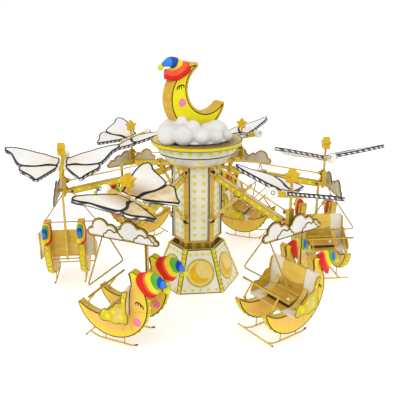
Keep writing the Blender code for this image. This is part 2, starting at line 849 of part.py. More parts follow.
def build_bird():
    """Tapered body with a round head and two pairs of wings, seated on the pole."""
    front_wing = [
        (0.02, -0.13), (0.02, 0.26), (0.62, 0.345), (WING_SPAN, 0.45),
        (1.34, -0.13), (1.05, -0.375), (0.53, -0.22),
    ]
    rear_wing = [
        (0.02, -0.30), (0.02, -0.145), (0.70, -0.32), (1.10, -0.50), (1.10, -0.73), (0.60, -1.06),
    ]
    tail = arm_point(POLE_OUT, -0.72, WING_HEIGHT - 0.30)
    nose = arm_point(POLE_OUT, 0.62, WING_HEIGHT + 0.045)
    body = cone(tail, nose, BODY_TAIL_RADIUS, BODY_RADIUS, 8)
    pieces = [ball(arm_point(POLE_OUT, 0.66, WING_HEIGHT + 0.055), HEAD_RADIUS)]
    for side in (-1, 1):
        for outline in (front_wing, rear_wing):
            pieces.append(wing(outline, side))
    fuse(body, *pieces)
    bottom = arm_point(POLE_OUT, 0, WING_HEIGHT - 0.6)
    top = arm_point(POLE_OUT, 0, WING_HEIGHT + 0.3)
    return cut(body, rod(bottom, top, POLE_RADIUS + 0.0004))


# Gondola

def gondola_cap(out):
    """The nightcap on the rear horn of a moon plate."""
    outline = [
        (-0.24, 2.31), (-0.34, 2.36), (-0.62, 2.33), (-1.02, 2.09), (-1.24, 1.90), (-1.17, 1.85),
        (-0.92, 1.84), (-0.84, 1.58), (-0.72, 1.58), (-0.42, 2.05),
    ]
    return side_plate(outline, 0.26, out)


def build_tub():
    """Curved back and floor sheet between two wavy side walls, with the seat."""
    centre = GONDOLA_INNER[:2]
    outer_edge = arc(centre, TUB_RADIUS, 175, 294, 8)
    inner_edge = arc(centre, TUB_RADIUS - TUB_WALL, 294, 175, 8)
    sheet = side_plate(outer_edge + inner_edge, 2 * TUB_HALF_WIDTH, POLE_OUT)
    wavy = [
        (0.54, 0.93), (0.46, 1.07), (0.30, 1.17), (0.22, 1.38), (0.07, 1.47), (0.0, 1.68),
        (-0.18, 1.81), (-0.34, 1.80), (-0.38, 1.40), (-0.18, 0.97), (0.16, 0.83), (0.42, 0.80),
    ]
    seat = [
        (-0.26, 1.78), (-0.17, 1.72), (0.0, 1.24), (0.40, 1.19), (0.42, 0.96), (0.02, 1.12),
        (-0.22, 1.45),
    ]
    pieces = [side_plate(seat, 2 * SEAT_HALF_WIDTH, POLE_OUT)]
    for side in (-1, 1):
        out = POLE_OUT + side * (TUB_HALF_WIDTH - SIDE_THICKNESS / 2 + 0.001)
        pieces.append(side_plate(wavy, SIDE_THICKNESS, out))
    return fuse(sheet, *pieces)


def gondola_skids():
    pieces = []
    for side in (-1, 1):
        out = POLE_OUT + side * 0.46
        route = [(1.05, 0.25), (0.88, 0.17), (0.73, SKID_HEIGHT), (-0.22, SKID_HEIGHT - 0.01), (-0.36, 0.18)]
        pieces.append(tube([arm_point(out, forward, up) for forward, up in route], SKID_WIRE))
        for forward in (0.02, 0.58):
            low = arm_point(out, forward, SKID_HEIGHT - 0.005)
            pieces.append(rod(low, arm_point(out, forward, 0.48), 0.016, 4))
    rest_low = arm_point(POLE_OUT - 0.66, 1.04, 0.245)
    rest_high = arm_point(POLE_OUT + 0.66, 1.04, 0.245)
    pieces.append(rod(rest_low, rest_high, 0.02, 4))
    return pieces


def ear_pin(out, radius, half_length, turn=0.0):
    """A bar along the arm at the lap bar's pivot."""
    start = arm_point(out - half_length, *LAP_PIN)
    end = arm_point(out + half_length, *LAP_PIN)
    return cone(start, end, radius, radius, SIDES, turn)


def build_gondola():
    """Two moon plates joined by cross bars, with the tub in them, the drop post and the skids."""
    shell = build_tub()
    outline = crescent(GONDOLA_OUTER, GONDOLA_INNER)
    pieces = []
    for out in MOON_OUTS:
        pieces.append(side_plate(outline, PLATE_THICKNESS, out))
        pieces.append(gondola_cap(out))
        ear_out = out + EAR_OFFSET
        pieces.append(arm_box(
            (ear_out - 0.012, ear_out + 0.012), (LAP_PIN[0] - 0.035, LAP_PIN[0] + 0.035),
            (0.96, LAP_PIN[1] + 0.035),
        ))
        pieces.append(ear_pin(out + 0.005, LAP_PIN_RADIUS, EAR_OFFSET - 0.005, math.radians(30)))
    for up in (1.02, 1.74):
        pieces.append(rod(
            arm_point(MOON_OUTS[0], POST_FORWARD, up), arm_point(MOON_OUTS[1], POST_FORWARD, up), 0.03,
        ))
    pieces.append(arm_box(
        (POLE_OUT - 0.035, POLE_OUT + 0.035), (POST_FORWARD - 0.03, POST_FORWARD + 0.03),
        (0.98, 2.96 - GAP),
    ))
    pieces += gondola_skids()
    return fuse(shell, *pieces)


def build_lap_bar():
    """Handle across the gondola on two levers that turn in the ears of the moon plates."""
    low = POLE_OUT - LAP_HALF_WIDTH
    high = POLE_OUT + LAP_HALF_WIDTH
    handle = rod(arm_point(low, *LAP_HANDLE), arm_point(high, *LAP_HANDLE), 0.022)
    pieces = []
    cutters = []
    for out in MOON_OUTS:
        pieces.append(rod(arm_point(out, *LAP_PIN), arm_point(out, *LAP_HANDLE), 0.018))
        pieces.append(ear_pin(out, 0.03, 0.025))
        cutters.append(ear_pin(out, hole_radius(LAP_PIN_RADIUS), 0.05))
    fuse(handle, *pieces)
    return cut(handle, *cutters)


clear_scene()
ride = new_collection("chair_swing_ride")
workshop = new_collection("workshop")

gold = principled("gold_paint", GOLD, 0.35, 0.3)
pale = principled("pale_gold_paint", PALE_GOLD, 0.4, 0.2)
yellow = principled("yellow_paint", YELLOW, 0.4, 0.0)
white = principled("white_paint", WHITE, 0.45, 0.0)
steel = principled("bright_steel", STEEL, 0.3, 0.9)
red = principled("cap_paint", CAP_RED, 0.45, 0.0)

tower = empty("tower_turn")
arm_frames = [
    empty(f"arm_{number}_frame", tower, math.radians(60 * (number - 1)))
    for number in range(1, ARM_COUNT + 1)
]

finish(build_base_frame(), "base_frame", gold)
finish(build_base_housing(), "base_housing", white)
finish(build_pedestal(), "base_pedestal", steel)
finish(build_tower_shaft(), "tower_shaft", white, parent=tower)
finish(build_tower_frame(), "tower_frame", gold, parent=tower)
finish(build_drum(), "drum_body", white, parent=tower)
finish(build_cornice(), "drum_cornice", yellow, parent=tower)
finish(build_cloud_bank(), "cloud_bank", white, parent=tower)
finish(moon_plate(), "crescent_moon", yellow, parent=tower)
finish(build_nightcap(), "nightcap", red, parent=tower)

beam_pivot = arm_point(BEAM_TOWER_PIN[0], 0.0, BEAM_TOWER_PIN[1])
tie_pivot = arm_point(tie_pins()[0][0], 0.0, tie_pins()[0][1])
carrier_pivot = arm_point(BEAM_END_PIN[0], 0.0, BEAM_END_PIN[1])
barrel_pivot = arm_point(CYLINDER_TOWER_PIN[0], 0.0, CYLINDER_TOWER_PIN[1])
rod_pivot = arm_point(CYLINDER_BEAM_PIN[0], 0.0, CYLINDER_BEAM_PIN[1])
lap_pivot = arm_point(POLE_OUT, *LAP_PIN)

place_on_arms(build_beam(), "beam", gold, beam_pivot)
place_on_arms(build_tie_rod(), "tie_rod", gold, tie_pivot)
place_on_arms(build_lift_barrel(), "lift_barrel", pale, barrel_pivot)
place_on_arms(build_lift_rod(), "lift_rod", steel, rod_pivot)
place_on_arms(build_carrier(), "carrier", pale, carrier_pivot)
place_on_arms(build_bird(), "bird", white, carrier_pivot)
place_on_arms(build_gondola(), "gondola", yellow, carrier_pivot)
place_on_arms(build_lap_bar(), "lap_bar", pale, lap_pivot)

bpy.data.collections.remove(workshop)
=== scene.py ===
"""Looks of a swing ride: a turning tower with six lifting arms, crescent gondolas and winged figures.

Everything is in metres, +Z up, with the tower's axis at the origin. Pieces of an arm are shaped once for
the arm along +X, where a place is (out, forward, up) and forward is -Y, and each arm shows a turned copy.
"""

import math

import bpy
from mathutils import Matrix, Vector


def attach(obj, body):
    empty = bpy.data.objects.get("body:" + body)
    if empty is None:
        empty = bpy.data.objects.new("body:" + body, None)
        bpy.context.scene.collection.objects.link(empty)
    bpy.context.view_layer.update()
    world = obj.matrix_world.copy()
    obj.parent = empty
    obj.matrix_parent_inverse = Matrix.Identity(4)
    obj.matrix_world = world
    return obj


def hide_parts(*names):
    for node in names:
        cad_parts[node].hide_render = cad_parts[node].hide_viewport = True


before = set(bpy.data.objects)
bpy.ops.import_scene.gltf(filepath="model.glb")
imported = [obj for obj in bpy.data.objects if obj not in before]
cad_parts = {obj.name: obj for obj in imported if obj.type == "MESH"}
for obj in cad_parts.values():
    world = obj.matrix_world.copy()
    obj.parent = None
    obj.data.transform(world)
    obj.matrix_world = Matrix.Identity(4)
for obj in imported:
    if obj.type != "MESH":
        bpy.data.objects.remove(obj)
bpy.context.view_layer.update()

ARMS = 6
FLAT = math.cos(math.radians(30))  # a hexagon's half width across its flats, for a radius of one
SHARP = math.radians(38)  # edges sharper than this stay crisp
ORIGIN = (0.0, 0.0)
UP = Vector((0, 0, 1))

# Base and tower
BASE_FOOT, BASE_HEAD, BASE_HEIGHT = 1.377, 0.864, 1.284
NECK_RADIUS, NECK_LOW, NECK_HIGH = 0.53, 1.122, 1.474
SHAFT_APOTHEM, SHAFT_SPAN = 0.7397 * FLAT, (1.51, 3.88)
POST_OUT, POST_HALF, POST_SPAN = 0.66, 0.0805, (1.504, 3.886)
MOON_TURN = math.radians(30)  # the way that the crown's moon faces
MOON_HALF = 0.19  # half its thickness
CROWN_TOP = 4.562

# Arms, as (out, up)
BEAM_NEAR, BEAM_FAR = (1.00, 3.60), (3.76, 3.061)
LINK = (0.12, 0.31)  # from a pin of the beam to the tie rod's pin
TIE_NEAR = (BEAM_NEAR[0] + LINK[0], BEAM_NEAR[1] + LINK[1])
TIE_FAR = (BEAM_FAR[0] + LINK[0], BEAM_FAR[1] + LINK[1])
RAM_LOW, RAM_HIGH = (0.95, 2.34), (1.93, 3.26)
LUG = 0.0725  # from the arm's middle to the inner side of its lugs
BOLT = 0.034  # radius of a bolt's head
POLE_OUT = 4.0
BAR_FORWARD = 0.76
PLATES = (3.52, 4.52)  # how far out the two moon plates of a gondola stand
PLATE_HALF = 0.095  # half their thickness
PLAQUE_OUT = 4.215

# Gondola: its crescent's circles, as (forward, up, radius), then the tub's sides, the seat and the post
OUTER, INNER = (0.26, 1.38, 0.995), (0.60, 1.86, 0.965)
TUB_LEFT, TUB_RIGHT = 3.20, 4.80
SEAT = (PLATES[0] + 0.10, PLATES[1] - 0.10)
TUB_FRONT = 0.52
POST_BACK = -0.444
HINGE = (1.02, 1.12)
FOOT_REST = (1.04, 0.245)

TONE = 0.88  # share of its brightness that every paint keeps, against the bright studio


def linear(red, green, blue):
    """A colour read off as 0 to 255, for a shader."""
    def one(value):
        value /= 255
        return value / 12.92 if value <= 0.04045 else ((value + 0.055) / 1.055) ** 2.4
    return (TONE * one(red), TONE * one(green), TONE * one(blue), 1.0)


# Materials

def noise(tree, vector, scale, detail=4.0):
    made = tree.nodes.new("ShaderNodeTexNoise")
    for name, number in (("Scale", scale), ("Detail", detail), ("Roughness", 0.55)):
        made.inputs[name].default_value = number
    tree.links.new(vector, made.inputs["Vector"])
    return made.outputs["Fac"]


def remap(tree, value, low, high, new_low=0.0, new_high=1.0):
    made = tree.nodes.new("ShaderNodeMapRange")
    for socket, number in zip(made.inputs[1:5], (low, high, new_low, new_high)):
        socket.default_value = number
    tree.links.new(value, made.inputs[0])
    return made.outputs[0]


def mixed(tree, share, first, second):
    """first where share is 0 and second where it is 1; each is a colour or a socket."""
    made = tree.nodes.new("ShaderNodeMix")
    made.data_type = "RGBA"
    tree.links.new(share, made.inputs[0])
    for socket, colour in ((made.inputs[6], first), (made.inputs[7], second)):
        if isinstance(colour, bpy.types.NodeSocket):
            tree.links.new(colour, socket)
        else:
            socket.default_value = colour
    return made.outputs[2]


def vector_node(tree, operation, first, second):
    made = tree.nodes.new("ShaderNodeVectorMath")
    made.operation = operation
    tree.links.new(first, made.inputs[0])
    made.inputs[1].default_value = second
    return made


def fading_from(centre, near, far, shade, keep=(1.0, 1.0, 0.0)):
    """A tint that has its shade up to one distance from a point and is gone at the other.

    Only the kept axes count, and near may be the greater distance.
    """
    def tint(tree, place, colour):
        flat = vector_node(tree, "MULTIPLY", place, keep)
        away = vector_node(tree, "DISTANCE", flat.outputs[0], centre)
        return mixed(tree, remap(tree, away.outputs["Value"], near, far), linear(*shade), colour)
    return tint


def finish(name, light, dark, rough, scale, grain=(1, 1, 1), coat=0.0, relief=0.15, fine=90.0,
           metallic=0.0, spread=(0.35, 0.7), tint=None):
    """A painted or bare surface whose colour, gloss and relief vary as one made by hand does.

    grain stretches the variation, and tint(tree, place, colour) may change the colour before it is used.
    """
    material = bpy.data.materials.new(name)
    material.use_nodes = True
    tree = material.node_tree
    shader = tree.nodes["Principled BSDF"]
    place = tree.nodes.new("ShaderNodeTexCoord").outputs["Object"]
    stretch = tree.nodes.new("ShaderNodeMapping")
    stretch.inputs["Scale"].default_value = grain
    tree.links.new(place, stretch.inputs["Vector"])
    vector = stretch.outputs[0]
    broad = noise(tree, vector, scale)
    colour = mixed(tree, remap(tree, broad, *spread), linear(*dark), linear(*light))
    if tint:
        colour = tint(tree, place, colour)
    tree.links.new(colour, shader.inputs["Base Color"])
    small = noise(tree, vector, fine, 3.0)
    tree.links.new(remap(tree, small, 0.3, 0.7, *rough), shader.inputs["Roughness"])
    bump = tree.nodes.new("ShaderNodeBump")
    bump.inputs["Strength"].default_value = relief
    bump.inputs["Distance"].default_value = 0.002
    tree.links.new(small, bump.inputs["Height"])
    tree.links.new(bump.outputs[0], shader.inputs["Normal"])
    for socket, number in (("Metallic", metallic), ("Specular IOR Level", 0.16), ("Coat Weight", coat),
                           ("Coat Roughness", 0.15)):
        shader.inputs[socket].default_value = number
    return material


# Shapes

class Piece:
    """The points and faces of one piece of the object, each face with its material."""

    def __init__(self):
        self.points, self.faces, self.slots, self.materials = [], [], [], []

    def shell(self, points, faces, looks):
        """Adds a closed shell, turned so that it faces out; looks has one material for each face."""
        points = [Vector(point) for point in points]
        middle = sum(points, Vector()) / len(points)
        volume = 0.0
        for face in faces:
            first = points[face[0]] - middle
            for left, right in zip(face[1:], face[2:]):
                volume += first.dot((points[left] - middle).cross(points[right] - middle))
        start = len(self.points)
        self.points += points
        for face, look in zip(faces, looks):
            if look not in self.materials:
                self.materials.append(look)
            order = face if volume > 0 else face[::-1]
            self.faces.append([start + index for index in order])
            self.slots.append(self.materials.index(look))

    def rings(self, rings, looks, closed=False):
        """Joins rings of points in turn. The ends are capped, or the last ring joins the first.

        looks is one material, or one for each strip between rings followed by one for the caps.
        """
        size = len(rings[0])
        strips = len(rings) if closed else len(rings) - 1
        if not isinstance(looks, list):
            looks = [looks] * (strips + 1)
        faces, kinds = [], []
        for strip in range(strips):
            near, far = strip * size, (strip + 1) % len(rings) * size
            for index in range(size):
                after = (index + 1) % size
                faces.append([near + index, near + after, far + after, far + index])
                kinds.append(looks[strip])
        if not closed:
            last = (len(rings) - 1) * size
            faces += [list(range(size))[::-1], [last + index for index in range(size)]]
            kinds += [looks[-1], looks[-1]]
        self.shell([point for ring in rings for point in ring], faces, kinds)

    def stack(self, place, layers, looks, closed=False):
        """Joins outlines on a plane, each given with its height."""
        self.rings([[place(x, y, height) for x, y in outline] for outline, height in layers], looks, closed)

    def slab(self, place, outline, low, high, face, edge=None, bevel=0.0):
        """A flat plate on an outline between two heights; bevel eases its rims."""
        layers = [(outline, low + bevel), (outline, high - bevel)]
        if bevel:
            eased = inset(outline, bevel)
            layers = [(eased, low), *layers, (eased, high)]
        self.stack(place, layers, [edge or face] * (len(layers) - 1) + [face])

    def band(self, place, outline, near, far, low, high, look):
        """A flat frame that follows an outline, between two depths inside it."""
        outer, inner = inset(outline, near), inset(outline, far)
        self.stack(place, [(outer, low), (outer, high), (inner, high), (inner, low)], look, closed=True)

    def stroke(self, place, path, width, low, high, look):
        """A flat ribbon along a path; width is one number or one for each point."""
        widths = width if isinstance(width, (list, tuple)) else [width] * len(path)
        rings = []
        for index, (x, y) in enumerate(path):
            before = path[max(index - 1, 0)]
            after = path[min(index + 1, len(path) - 1)]
            along = Vector((after[0] - before[0], after[1] - before[1])).normalized()
            dx, dy = -along.y * widths[index] / 2, along.x * widths[index] / 2
            left, right = (x - dx, y - dy), (x + dx, y + dy)
            rings.append([place(*left, low), place(*right, low), place(*right, high), place(*left, high)])
        self.rings(rings, look)

    def turned(self, place, profile, looks, steps=16, centre=ORIGIN, closed=False):
        """A turned shape; the profile gives (radius, height) from one end of the axis to the other."""
        layers = [(circle(centre, radius, steps), height) for radius, height in profile]
        self.stack(place, layers, looks, closed)

    def lamp(self, place, x, y, radius, look, height=0.5, base=0.0):
        """A low dome that stands on a surface."""
        rise = radius * height
        profile = [(0.96, -0.004), (1.0, rise * 0.15), (0.86, rise * 0.6), (0.5, rise * 0.93), (0.12, rise)]
        self.turned(place, [(radius * share, base + high) for share, high in profile], look, 10, (x, y))

    def ball(self, centre, radius, look, squash=(1, 1, 1), steps=24):
        """A ball with small flats at its poles."""
        def place(x, y, z):
            return Vector(centre) + Vector((x * squash[0], y * squash[1], z * squash[2]))
        count = steps // 2
        turns = [math.pi * (index + 0.08) / (count + 0.16) for index in range(count + 1)]
        profile = [(radius * math.sin(turn), radius * math.cos(turn)) for turn in turns]
        self.turned(place, profile, look, steps)

    def tube(self, path, radius, looks, sides=10, closed=False):
        """A bar along a path; radius is one number or one for each point."""
        path = [Vector(point) for point in path]
        count = len(path)
        radii = radius if isinstance(radius, list) else [radius] * count
        across = None
        rings = []
        for index, point in enumerate(path):
            before = path[index - 1] if closed or index else point
            after = path[(index + 1) % count] if closed or index < count - 1 else point
            along = (after - before).normalized()
            across = along.orthogonal() if across is None else across - along * along.dot(across)
            across.normalize()
            other = along.cross(across)
            rings.append([point + across * x + other * y for x, y in circle(ORIGIN, radii[index], sides)])
        if closed:
            # The rings turn little by little, so that the last one lines up with the first.
            shift = min(range(sides), key=lambda turn: (rings[-1][turn] - rings[0][0]).length)
            turns = [round(shift * index / count) for index in range(count)]
            rings = [ring[turn:] + ring[:turn] for ring, turn in zip(rings, turns)]
        self.rings(rings, looks, closed)

    def bar(self, start, end, wide, high, look, bevel=0.006, up=(0, 0, 1)):
        """A straight bar of rectangular section with eased edges."""
        start, end = Vector(start), Vector(end)
        along = (end - start).normalized()
        across = along.cross(Vector(up)).normalized()
        top = across.cross(along)
        section = eased_box(wide / 2, high / 2, bevel)
        ease = along * min(bevel, (end - start).length / 4)
        small = 1 - bevel * 2 / max(wide, high)
        stations = ((start, small), (start + ease, 1), (end - ease, 1), (end, small))
        self.rings([[point + across * x * share + top * y * share for x, y in section]
                    for point, share in stations], look)

    def mesh(self, name):
        made = bpy.data.meshes.new(name)
        made.from_pydata(self.points, [], self.faces)
        made.polygons.foreach_set("material_index", self.slots)
        for look in self.materials:
            made.materials.append(look)
        made.shade_smooth()
        made.set_sharp_from_angle(angle=SHARP)
        made.update()
        return made


def eased_box(w, h, b):
    """A rectangle of half sizes w and h about the origin with its corners cut by b."""
    return [(w, h - b), (w - b, h), (b - w, h), (-w, h - b), (-w, b - h), (b - w, -h), (w - b, -h),
            (w, b - h)]


def oblong(left, right, low, high):
    return [(left, low), (right, low), (right, high), (left, high)]


def inset(outline, depth):
    """An outline moved inward, with even corners."""
    points = [Vector(point) for point in outline]
    count = len(points)
    area = sum(points[i].x * points[i - 1].y - points[i - 1].x * points[i].y for i in range(count))
    side = -1.0 if area > 0 else 1.0
    moved = []
    for index, point in enumerate(points):
        first = (point - points[index - 1]).normalized()
        second = (points[(index + 1) % count] - point).normalized()
        one, two = Vector((-first.y, first.x)), Vector((-second.y, second.x))
        middle = one + two
        middle = middle.normalized() if middle.length > 1e-6 else one
        reach = side * depth / max(middle.dot(one), 0.4)
        moved.append((point.x + middle.x * reach, point.y + middle.y * reach))
    return moved


def curve(points, steps=4, closed=True):
    """A smooth line through points."""
    points = [Vector(point) for point in points]
    count = len(points)
    spans = count if closed else count - 1
    made = []
    for index in range(spans):
        if closed:
            a, b, c, d = (points[(index + offset) % count] for offset in (-1, 0, 1, 2))
        else:
            b, c = points[index], points[index + 1]
            a = points[index - 1] if index else b * 2 - c
            d = points[index + 2] if index + 2 < count else c * 2 - b
        for step in range(steps):
            t = step / steps
            made.append(((b * 2) + (c - a) * t + (a * 2 - b * 5 + c * 4 - d) * t * t
                         + (b * 3 - a - c * 3 + d) * t * t * t) * 0.5)
    if not closed:
        made.append(points[-1])
    return [tuple(point) for point in made]


def rounded(outline, radius, steps=4):
    """A polygon with its corners rounded."""
    points = [Vector(point) for point in outline]
    made = []
    for index, point in enumerate(points):
        before, after = points[index - 1], points[(index + 1) % len(points)]
        cut = min(radius, (point - before).length * 0.45, (point - after).length * 0.45)
        start = point + (before - point).normalized() * cut
        end = point + (after - point).normalized() * cut
        for step in range(steps + 1):
            t = step / steps
            made.append(tuple(start * (1 - t) ** 2 + point * 2 * t * (1 - t) + end * t * t))
    return made


def arc(centre, radius, start, end, count):
    """Points on a circle from one angle to another, in degrees."""
    angles = (math.radians(start + (end - start) * step / count) for step in range(count + 1))
    return [(centre[0] + radius * math.cos(angle), centre[1] + radius * math.sin(angle)) for angle in angles]


def circle(centre, radius, count):
    return arc(centre, radius, 0, 360, count)[:-1]


def crescent(outer, inner, grow):
    """The outline of a crescent between two circles, grown all round, so that its horns are round."""
    (x1, y1, r1), (x2, y2, r2) = outer, inner
    apart = math.dist((x1, y1), (x2, y2))
    reach = (apart**2 + r1**2 - r2**2) / (2 * apart)
    axis = math.degrees(math.atan2(y2 - y1, x2 - x1))
    wide, deep = math.degrees(math.acos(reach / r1)), math.degrees(math.acos((reach - apart) / r2))
    front, rear = arc((x1, y1), r1, axis - wide, axis + wide, 1)
    line = arc((x1, y1), r1 + grow, axis - wide, axis + wide - 360, 40)
    line += arc(rear, grow, axis + wide - 360, axis + deep - 540, 5)[1:-1]
    line += arc((x2, y2), r2 - grow, axis + deep, axis + 360 - deep, 40)
    return line + arc(front, grow, axis + 180 - deep, axis - wide, 5)[1:-1]


def mirrored(side):
    """A profile that repeats its upper side below."""
    return [(radius, -high) for radius, high in side] + side[::-1]


def star(radius, depth):
    """A star's outline with one of its five points up."""
    tips, dents = arc(ORIGIN, radius, 90, 450, 5), arc(ORIGIN, radius * depth, 126, 486, 5)
    return [point for pair in zip(tips, dents) for point in pair][:-2]


def plane(origin, across, up):
    """Places points on a plane; the third number is the height out of it."""
    origin, across, up = Vector(origin), Vector(across).normalized(), Vector(up).normalized()
    out = across.cross(up)
    return lambda x, y, h=0.0: origin + across * x + up * y + out * h


def at(out, forward, up):
    """A place on the arm along +X."""
    return Vector((out, -forward, up))


def beside(out, direction=1):
    """Points (forward, up) on a plane square to the arm, whose height grows outward or, with -1, inward."""
    return lambda x, y, h=0.0: at(out + direction * h, x, y)


def along_arm(forward, direction=1):
    """Points (out, up) on a plane along the arm."""
    return lambda x, y, h=0.0: at(x, forward + direction * h, y)


def facing_out(degrees, radius, up=0.0, run=0.0, rise=1.0):
    """Points on a plane that faces out from the axis: x level and y up, where run slopes it in or out."""
    angle = math.radians(degrees)
    outward = Vector((math.cos(angle), math.sin(angle), 0))
    return plane(outward * radius + UP * up, (-math.sin(angle), math.cos(angle), 0),
                 outward * run + UP * rise)


def level(x, y, h=0.0):
    return Vector((x, y, h))


def link(obj):
    bpy.context.scene.collection.objects.link(obj)
    return obj


def show(piece, name, body, nodes=(), turn=0.0):
    """Puts a piece or a mesh in the scene, riding on a body and standing for the nodes that it replaces."""
    obj = link(bpy.data.objects.new(name, piece if isinstance(piece, bpy.types.Mesh) else piece.mesh(name)))
    obj.rotation_euler = (0.0, 0.0, turn)
    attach(obj, body)
    if nodes:
        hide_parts(*nodes)


def show_on_arms(piece, name, body, node=None, arms=range(1, ARMS + 1)):
    """Shows turned copies of a piece, each on the arm's own body or, for the tower, on that."""
    shared = piece.mesh(name)
    for number in arms:
        own = "" if body == "tower" else f"arm_{number}_"
        nodes = [f"arm_{number}_{node}"] if node else []
        show(shared, f"arm_{number}_{name}", own + body, nodes, math.radians(60 * (number - 1)))


def repaint(node, look):
    """Gives a solid that is shown as it is its material."""
    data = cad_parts[node].data
    for index in range(len(data.materials)):
        data.materials[index] = look


# Paints: each with its light and dark colour, range of roughness and scale of variation

GOLD = finish("gold_paint", (228, 192, 70), (206, 166, 48), (0.32, 0.5), 3.0, (0.6, 0.6, 3.0), coat=0.1)
BEAM_GOLD = finish("beam_gold", (226, 198, 54), (206, 172, 36), (0.32, 0.5), 3.0, (0.5, 4.0, 4.0), coat=0.1)
PALE_GOLD = finish("pale_gold", (232, 204, 106), (212, 178, 76), (0.38, 0.55), 2.5, (1, 3, 3))
OLIVE = finish("olive_gold", (190, 162, 54), (158, 128, 34), (0.4, 0.6), 4.0, (1, 1, 3))
EDGE_GOLD = finish("edge_gold", (224, 186, 62), (202, 160, 42), (0.4, 0.6), 4.0, (1, 1, 6))
BROWN = finish("bolt_brown", (104, 52, 26), (60, 28, 14), (0.3, 0.5), 30.0, coat=0.2)
OUTLINE = finish("dark_line", (56, 42, 20), (38, 28, 14), (0.5, 0.65), 12.0)
INK = finish("ink_line", (44, 45, 48), (28, 29, 32), (0.5, 0.65), 12.0)
WHITE = finish("white_panel", (246, 243, 230), (236, 230, 212), (0.42, 0.6), 2.2, (1, 1, 0.5))
CREAM = finish("cream_panel", (238, 230, 204), (226, 212, 172), (0.42, 0.6), 3.0, (0.5, 3, 3))
STRIP = finish("white_strip", (246, 238, 224), (230, 220, 202), (0.45, 0.6), 2.5)
YELLOW = finish("yellow_paint", (232, 220, 32), (216, 198, 24), (0.3, 0.45), 4.0, coat=0.15)
STRIP_YELLOW = finish("corner_yellow", (226, 212, 34), (206, 176, 40), (0.35, 0.5), 5.0, coat=0.1)
LAMP = finish("lamp_lime", (218, 232, 24), (232, 228, 40), (0.15, 0.3), 14.0, relief=0.05, coat=0.4)
LAMP_GOLD = finish("lamp_gold", (248, 222, 24), (238, 202, 20), (0.15, 0.3), 14.0, relief=0.05, coat=0.4)
RAISED_ORANGE = finish("medallion_orange", (242, 200, 12), (230, 180, 8), (0.35, 0.5), 3.0, (2, 2, 2))
RING_LIME = finish("ring_lime", (210, 196, 62), (188, 172, 48), (0.4, 0.55), 8.0)
MEDALLION_PALE = finish("medallion_pale", (247, 224, 136), (238, 210, 114), (0.4, 0.55), 3.0, (2, 2, 2))
LINE_CREAM = finish("cream_line", (250, 228, 176), (240, 214, 156), (0.45, 0.6), 8.0)
CLOUD = finish("cloud_white", (234, 232, 230), (222, 219, 215), (0.75, 0.9), 2.2, relief=0.35, fine=34.0)
PLAQUE = finish("plaque_white", (240, 237, 232), (230, 225, 218), (0.45, 0.6), 3.0)
PLAQUE_BACK = finish("plaque_back", (222, 215, 202), (200, 192, 176), (0.5, 0.65), 2.4)
CHROME = finish("rod_chrome", (216, 210, 196), (190, 182, 166), (0.12, 0.25), 8.0, metallic=0.9)
PINK = finish("cheek_pink", (246, 138, 176), (238, 120, 166), (0.4, 0.55), 6.0)
EYE_GREY = finish("eye_grey", (104, 106, 112), (80, 82, 88), (0.15, 0.3), 12.0, coat=0.4)
KNOB = finish("knob_pearl", (236, 214, 206), (222, 196, 188), (0.2, 0.35), 10.0, coat=0.3)
BALL_WHITE = finish("ball_white", (252, 249, 240), (244, 238, 226), (0.2, 0.35), 8.0, coat=0.3)
TOP_MOON = finish("top_moon_yellow", (240, 232, 8), (232, 218, 4), (0.35, 0.5), 2.0, coat=0.1)
STAR_GOLD = finish("star_gold", (234, 198, 0), (222, 182, 0), (0.3, 0.45), 5.0, (2, 2, 2), coat=0.2)
STAR_RIM = finish("star_rim", (228, 190, 40), (208, 168, 28), (0.35, 0.5), 6.0)
SEAT_GOLD = finish("seat_gold", (244, 216, 108), (226, 188, 74), (0.38, 0.55), 2.2, (1, 1, 4))
SEAT_DARK = finish("seat_dark", (218, 178, 72), (194, 148, 50), (0.4, 0.6), 2.6, (1, 3, 1))
CAP = {name: finish("cap_" + name, light, dark, (0.45, 0.6), 5.0) for name, light, dark in (
    ("red", (232, 42, 36), (206, 26, 22)), ("orange", (246, 104, 60), (236, 84, 44)),
    ("yellow", (250, 226, 52), (240, 206, 36)), ("green", (100, 188, 76), (82, 168, 60)),
    ("blue", (40, 80, 190), (30, 62, 160)), ("sky", (60, 146, 236), (48, 124, 216)),
)}
POMPOM = finish("cap_pompom", (222, 228, 34), (206, 210, 28), (0.6, 0.8), 9.0, relief=0.5, fine=50.0)

FACE = finish("gondola_face", (246, 206, 98), (240, 192, 86), (0.36, 0.5), 2.0, coat=0.1,
              tint=fading_from(at(0.0, *OUTER[:2]), 1.01, 0.83, (238, 214, 30), keep=(0.0, 1.0, 1.0)))
ORNAMENT_TAN = finish("ornament_tan", (226, 204, 122), (212, 186, 104), (0.4, 0.55), 4.0)

AT_POLE = (POLE_OUT, 0.0, 0.0)
# The wings fade to a light tan near the body: painted shade and a painted reflection of the nearby gold.
WING = finish("wing_white", (247, 246, 244), (240, 238, 235), (0.4, 0.55), 2.0,
              tint=fading_from(AT_POLE, 0.25, 1.05, (244, 234, 214)))
REAR_WING_LOOK = finish("rear_wing_white", (247, 244, 240), (238, 231, 220), (0.4, 0.55), 1.6)
# Shaded copies of the wing paints for one arm. They are darker tan near the body and show tan blotches all
# over the rear wings, as painted shade.
SHADED_WING = finish("front_wing_painted_shade", (245, 241, 234), (236, 226, 212), (0.4, 0.55), 2.0,
                   tint=fading_from(AT_POLE, 0.25, 0.95, (204, 172, 122)))
SHADED_REAR_WING = finish("rear_wing_painted_shade", (240, 224, 192), (208, 178, 124), (0.4, 0.55), 1.6,
                        spread=(0.42, 0.62))
